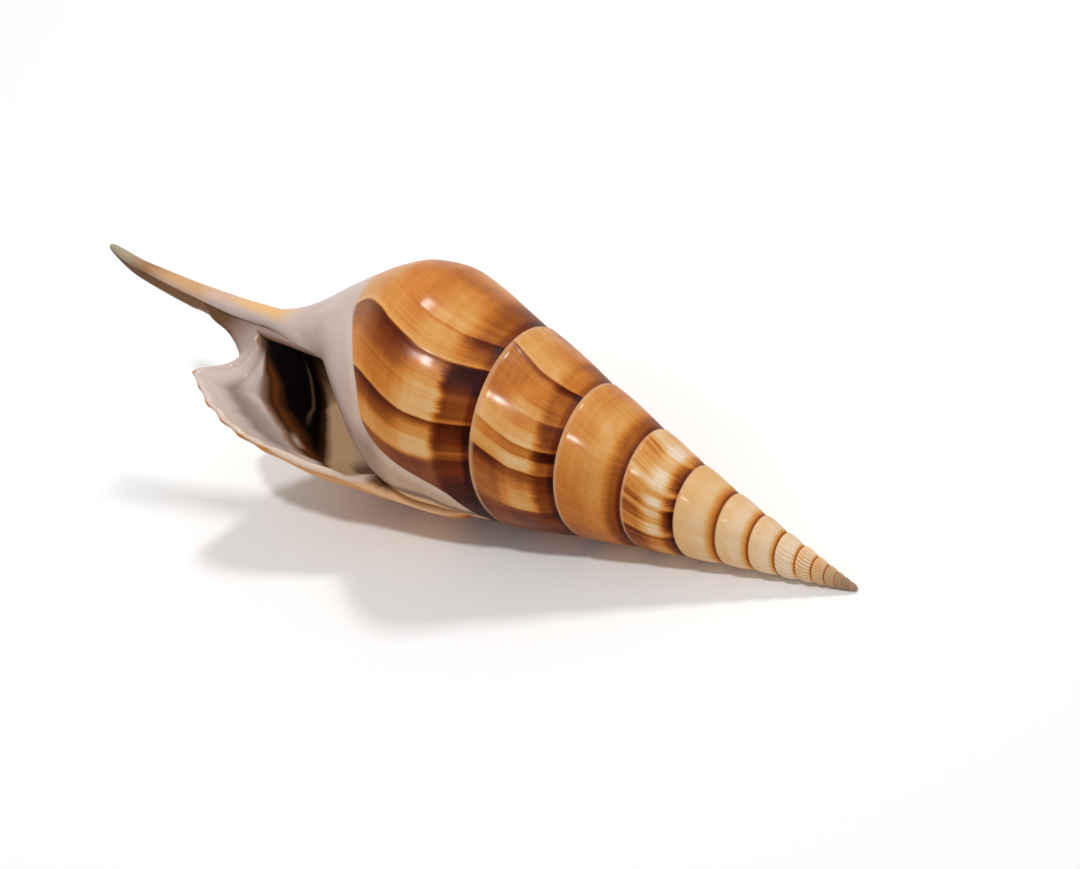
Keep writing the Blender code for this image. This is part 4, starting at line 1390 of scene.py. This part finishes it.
    def shine(self):
        """How polished each part is: less on the old whorls and inside the mouth."""
        b = self.board
        shine = b.levels(self.line, POLISH) * b.fall(self.inside, *DEEP)
        return shine * b.step(self.across, 0.28, 0.44) * self.gloss.polish

    def make(self):
        b = self.board
        relief = b.noise(self.line * 1.4, self.across * 1.2, 3.0, 4.0, 0.65)
        smear = b.noise(self.line * 0.1, self.across * 3.0, 13.0, 3.0, 0.6) * 0.10
        worn = b.fall(self.line, -2600.0, -700.0) * 0.12
        deep = b.step(self.inside, *DEEP) * 0.3
        bump = {"Strength": 0.35, "Distance": 0.00012, "Height": relief}
        return b.surface({
            "Base Color": self.colour_wire(),
            "Roughness": self.gloss.roughness + smear + worn + deep,
            "Specular IOR Level": 0.05,
            "Coat Weight": self.shine(),
            "Coat Roughness": 0.15,
            "Normal": b.node("ShaderNodeBump", {}, bump),
        })


def paint(name, description, *colour):
    return bpy.props.FloatVectorProperty(
        name=name,
        description=description,
        default=shade(*colour),
        size=3,
        min=0.0,
        max=1.0,
        subtype="COLOR",
    )


def number(name, description, default, low, high, **more):
    return bpy.props.FloatProperty(
        name=name, description=description, default=default, min=low, max=high, **more
    )


class TibiaShellSizes(bpy.types.PropertyGroup):
    rib_count: bpy.props.IntProperty(
        name="Ribs in a turn",
        description="Upright ribs in one turn of the first whorls",
        default=26,
        min=8,
        max=40,
    )
    rib_height: number(
        "Rib height", "Ribs' height as a share of their whorl's", 0.045, 0.0, 0.12, subtype="FACTOR"
    )
    glaze_thickness: number(
        "Glaze thickness", "Height of the glaze above the banded skin", 0.00022, 0.0, 0.0006, unit="LENGTH"
    )


class TibiaShellColours(bpy.types.PropertyGroup):
    cream: paint("Cream", "Palest patches between the streaks of the spire", 238, 216, 192)
    straw: paint("Straw", "Pale whorls towards the tip", 226, 182, 128)
    golden: paint("Golden", "Pale side of each growth mark", 216, 154, 82)
    caramel: paint("Caramel", "Main colour of the later whorls", 200, 120, 48)
    brown: paint("Brown", "Between the main colour and the dark bands", 150, 78, 26)
    chestnut: paint("Chestnut", "Dark bands", 104, 40, 8)
    darkest: paint("Darkest", "Deepest part of the dark bands", 48, 9, 1)
    old_tip: paint("Worn tip", "Greyed first whorls", 150, 126, 108)
    seam_rim: paint("Seam rim", "Pale rim along the lower seam of each whorl", 208, 160, 122)
    porcelain: paint("Porcelain", "Glaze beside the mouth", 214, 196, 188)
    porcelain_dark: paint("Dark porcelain", "Clouds in the glaze", 188, 166, 156)
    porcelain_pale: paint("Pale porcelain", "Edge of the glaze", 226, 210, 200)
    porcelain_tan: paint("Tan porcelain", "Glaze towards the back corner of the lip", 192, 150, 116)
    amber: paint("Amber", "Back of the canal", 230, 182, 118)
    canal_tan: paint("Canal tan", "Streaks on the back of the canal", 212, 176, 152)
    canal_amber: paint("Canal amber", "Amber towards the canal's tip", 206, 160, 112)
    # Painted shadow: the canal's shaded underside, and the shade in the gutter and creases beside it.
    canal_shadow: paint("Canal shadow", "Brown edge of the canal on the lip's side", 112, 78, 54)
    canal_tip: paint("Canal tip", "Tip of the canal", 165, 152, 128)
    canal_brown: paint("Canal brown", "Brown just before the canal's tip", 158, 116, 84)
    lip_orange: paint("Lip orange", "Outer edge of the lip", 204, 138, 74)
    # Painted shade in the creases at the lip's back corner.
    lip_crease_shade: paint("Lip brown", "Inner side of the lip near its back corner", 108, 74, 52)
    lip_gold: paint("Lip gold", "Teeth on the lip's outer edge", 186, 116, 50)
    lip_tan: paint("Lip tan", "Edge of the lip near its back corner", 222, 176, 130)
    lip_peach: paint("Lip peach", "Inner edge of the lip", 218, 194, 174)
    # Painted shade: the valley inside the lip and the mouth's front corner.
    crease: paint("Crease", "Shaded valley and front corner inside the mouth", 80, 48, 28)
    mouth_tan: paint("Mouth tan", "Where the glaze meets the dark inside", 146, 106, 84)
    mouth_orange: paint("Mouth orange", "Glowing edge of the dark inside", 112, 58, 22)
    # Brown of the mouth, also used as painted shade in the crevice and under the glaze's edge.
    mouth_brown_and_shade: paint("Mouth brown", "Between the inner wall and the dark inside", 74, 40, 20)
    # Painted shade deep inside the hollow.
    mouth_deep_shade: paint("Mouth dark", "Deep inside the mouth", 10, 4, 3)
    inner_grey: paint("Inner grey", "Far side of the inner wall", 178, 150, 138)
    inner_tan: paint("Inner tan", "Inner wall of the mouth", 234, 190, 146)


class TibiaShellGloss(bpy.types.PropertyGroup):
    roughness: number("Roughness", "Roughness under the polish", 0.38, 0.05, 1.0, subtype="FACTOR")
    polish: number("Polish", "Clear polish over the skin", 0.18, 0.0, 1.0, subtype="FACTOR")


class TibiaStageSettings(bpy.types.PropertyGroup):
    floor_size: number("Floor size", "Side of the square floor", 8.0, 1.0, 20.0, unit="LENGTH")
    floor_colour: paint("Floor", "Floor under the shell", 250, 250, 250)
    lens: number("Lens", "Focal length of the camera", 154.2, 20.0, 300.0, unit="CAMERA")
    room_light: number("Room light", "Strength of the pale light all round", 0.42, 0.0, 5.0)
    window_light: number("Window light", "Power of each soft window", 1.6, 0.0, 100.0, unit="POWER")


class TIBIA_OT_shell(bpy.types.Operator):
    """Make the shell: set out the grids of its skin along the coil, join them and give them their finish"""

    bl_idname = "tibia.shell"
    bl_label = "Shell"

    def execute(self, context):
        scene = context.scene
        sheets = shell_sheets(scene.tibia_sizes)
        base = lying_base(sheets)
        names = ("spire", "last_turn", "lip_rim", "hollow", "apex")
        grids = [add_grid(sheet, base, name) for sheet, name in zip(sheets, names)]
        shell = join_grids(grids, "tibia_shell")
        finish = Finish(scene.tibia_colours, scene.tibia_gloss, scene.tibia_sizes)
        shell.data.materials.clear()
        shell.data.materials.append(finish.make())
        scene["tibia_base"] = [float(v) for v in base]
        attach(shell, "root")
        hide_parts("shell")
        return {"FINISHED"}


# Camera and lights as seen from the coil's own axes.
CAMERA_PLACE = (281.3, 0.77, 533.8)
CAMERA_RIGHT = (0.76543, 0.42326, -0.48473)
CAMERA_UP = (-0.35759, 0.90601, 0.22645)
CAMERA_BACK = (0.53502, 0.0, 0.84484)
SHELL_MIDDLE = (-80.0, 0.0, 0.0)

# Soft windows: name, direction, side in metres, and share of the window light.
WINDOWS = (
    ("front_window", (-0.10, 0.33, 0.94), 0.048, 0.90),
    ("top_window", (-0.325, 0.871, 0.357), 0.082, 1.0),
)
WINDOW_DISTANCE = 620.0


def turned(direction):
    return Vector(rest_axes() @ np.asarray(direction))


def add_camera(scene, base):
    data = bpy.data.cameras.new("camera")
    data.sensor_width = 36.0
    data.lens = scene.tibia_stage.lens
    data.clip_start = 0.01
    data.clip_end = 50.0
    camera = bpy.data.objects.new("camera", data)
    scene.collection.objects.link(camera)
    axes = Matrix([turned(way) for way in (CAMERA_RIGHT, CAMERA_UP, CAMERA_BACK)]).transposed()
    camera.matrix_world = Matrix.Translation(Vector(to_table(CAMERA_PLACE, base))) @ axes.to_4x4()
    scene.camera = camera


def add_window(scene, base, name, direction, side, share):
    light = bpy.data.lights.new(name, "AREA")
    light.shape = "SQUARE"
    light.size = side
    light.energy = scene.tibia_stage.window_light * share
    lamp = bpy.data.objects.new(name, light)
    scene.collection.objects.link(lamp)
    towards = turned(direction).normalized()
    lamp.location = Vector(to_table(SHELL_MIDDLE, base)) + towards * WINDOW_DISTANCE * MM
    lamp.rotation_euler = towards.to_track_quat("Z", "Y").to_euler()


def add_floor(scene):
    nothing_selected()
    bpy.ops.mesh.primitive_plane_add(size=scene.tibia_stage.floor_size, location=(0.0, 0.0, 0.0))
    floor = bpy.context.active_object
    floor.name = "floor"
    board = Board("pale_floor")
    place_on_floor = board.split(board.node("ShaderNodeTexCoord", {}, {}, out=3))
    mottle = board.noise(*(part * 6.0 for part in place_on_floor))
    tint = board.blend(mottle * 0.06 + 0.5, (*scene.tibia_stage.floor_colour, 1.0), (0.93, 0.93, 0.93, 1.0))
    floor.data.materials.append(board.surface({"Base Color": tint, "Roughness": 0.9}))


def add_room_light(scene):
    world = bpy.data.worlds.new("room")
    world.use_nodes = True
    background = world.node_tree.nodes["Background"].inputs
    background["Color"].default_value = (1.0, 0.99, 0.98, 1.0)
    background["Strength"].default_value = scene.tibia_stage.room_light
    scene.world = world


class TIBIA_OT_stage(bpy.types.Operator):
    """Set the stage: a pale floor, soft windows and the camera"""

    bl_idname = "tibia.stage"
    bl_label = "Stage"

    def execute(self, context):
        scene = context.scene
        base = np.array(scene["tibia_base"])
        scene.view_settings.view_transform = "Standard"
        add_floor(scene)
        add_room_light(scene)
        for window in WINDOWS:
            add_window(scene, base, *window)
        add_camera(scene, base)
        return {"FINISHED"}


# The panel's boxes: label, settings, the group behind them and the operator they feed.
GROUPS = (
    ("Sizes", "tibia_sizes", TibiaShellSizes, "tibia.shell"),
    ("Colours", "tibia_colours", TibiaShellColours, ""),
    ("Gloss", "tibia_gloss", TibiaShellGloss, ""),
    ("Stage", "tibia_stage", TibiaStageSettings, "tibia.stage"),
)


class TIBIA_PT_panel(bpy.types.Panel):
    """Lists the shell's settings and the stage's, with the operators that use them"""

    bl_idname = "TIBIA_PT_panel"
    bl_label = "Tibia Shell"
    bl_space_type = "VIEW_3D"
    bl_region_type = "UI"
    bl_category = "Shell"

    def draw(self, context):
        for label, name, group, operator in GROUPS:
            box = self.layout.box()
            box.label(text=label)
            for key in group.__annotations__:
                box.prop(getattr(context.scene, name), key)
            if operator:
                box.operator(operator)


CLASSES = (*(group[2] for group in GROUPS), TIBIA_OT_shell, TIBIA_OT_stage, TIBIA_PT_panel)


def register():
    for cls in CLASSES:
        bpy.utils.register_class(cls)
    for _, name, group, _ in GROUPS:
        setattr(bpy.types.Scene, name, bpy.props.PointerProperty(type=group))


def unregister():
    for _, name, _, _ in GROUPS:
        delattr(bpy.types.Scene, name)
    for cls in reversed(CLASSES):
        bpy.utils.unregister_class(cls)


def main():
    register()
    bpy.ops.tibia.shell()
    bpy.ops.tibia.stage()
    bpy.context.view_layer.update()


if __name__ == "__main__":
    main()
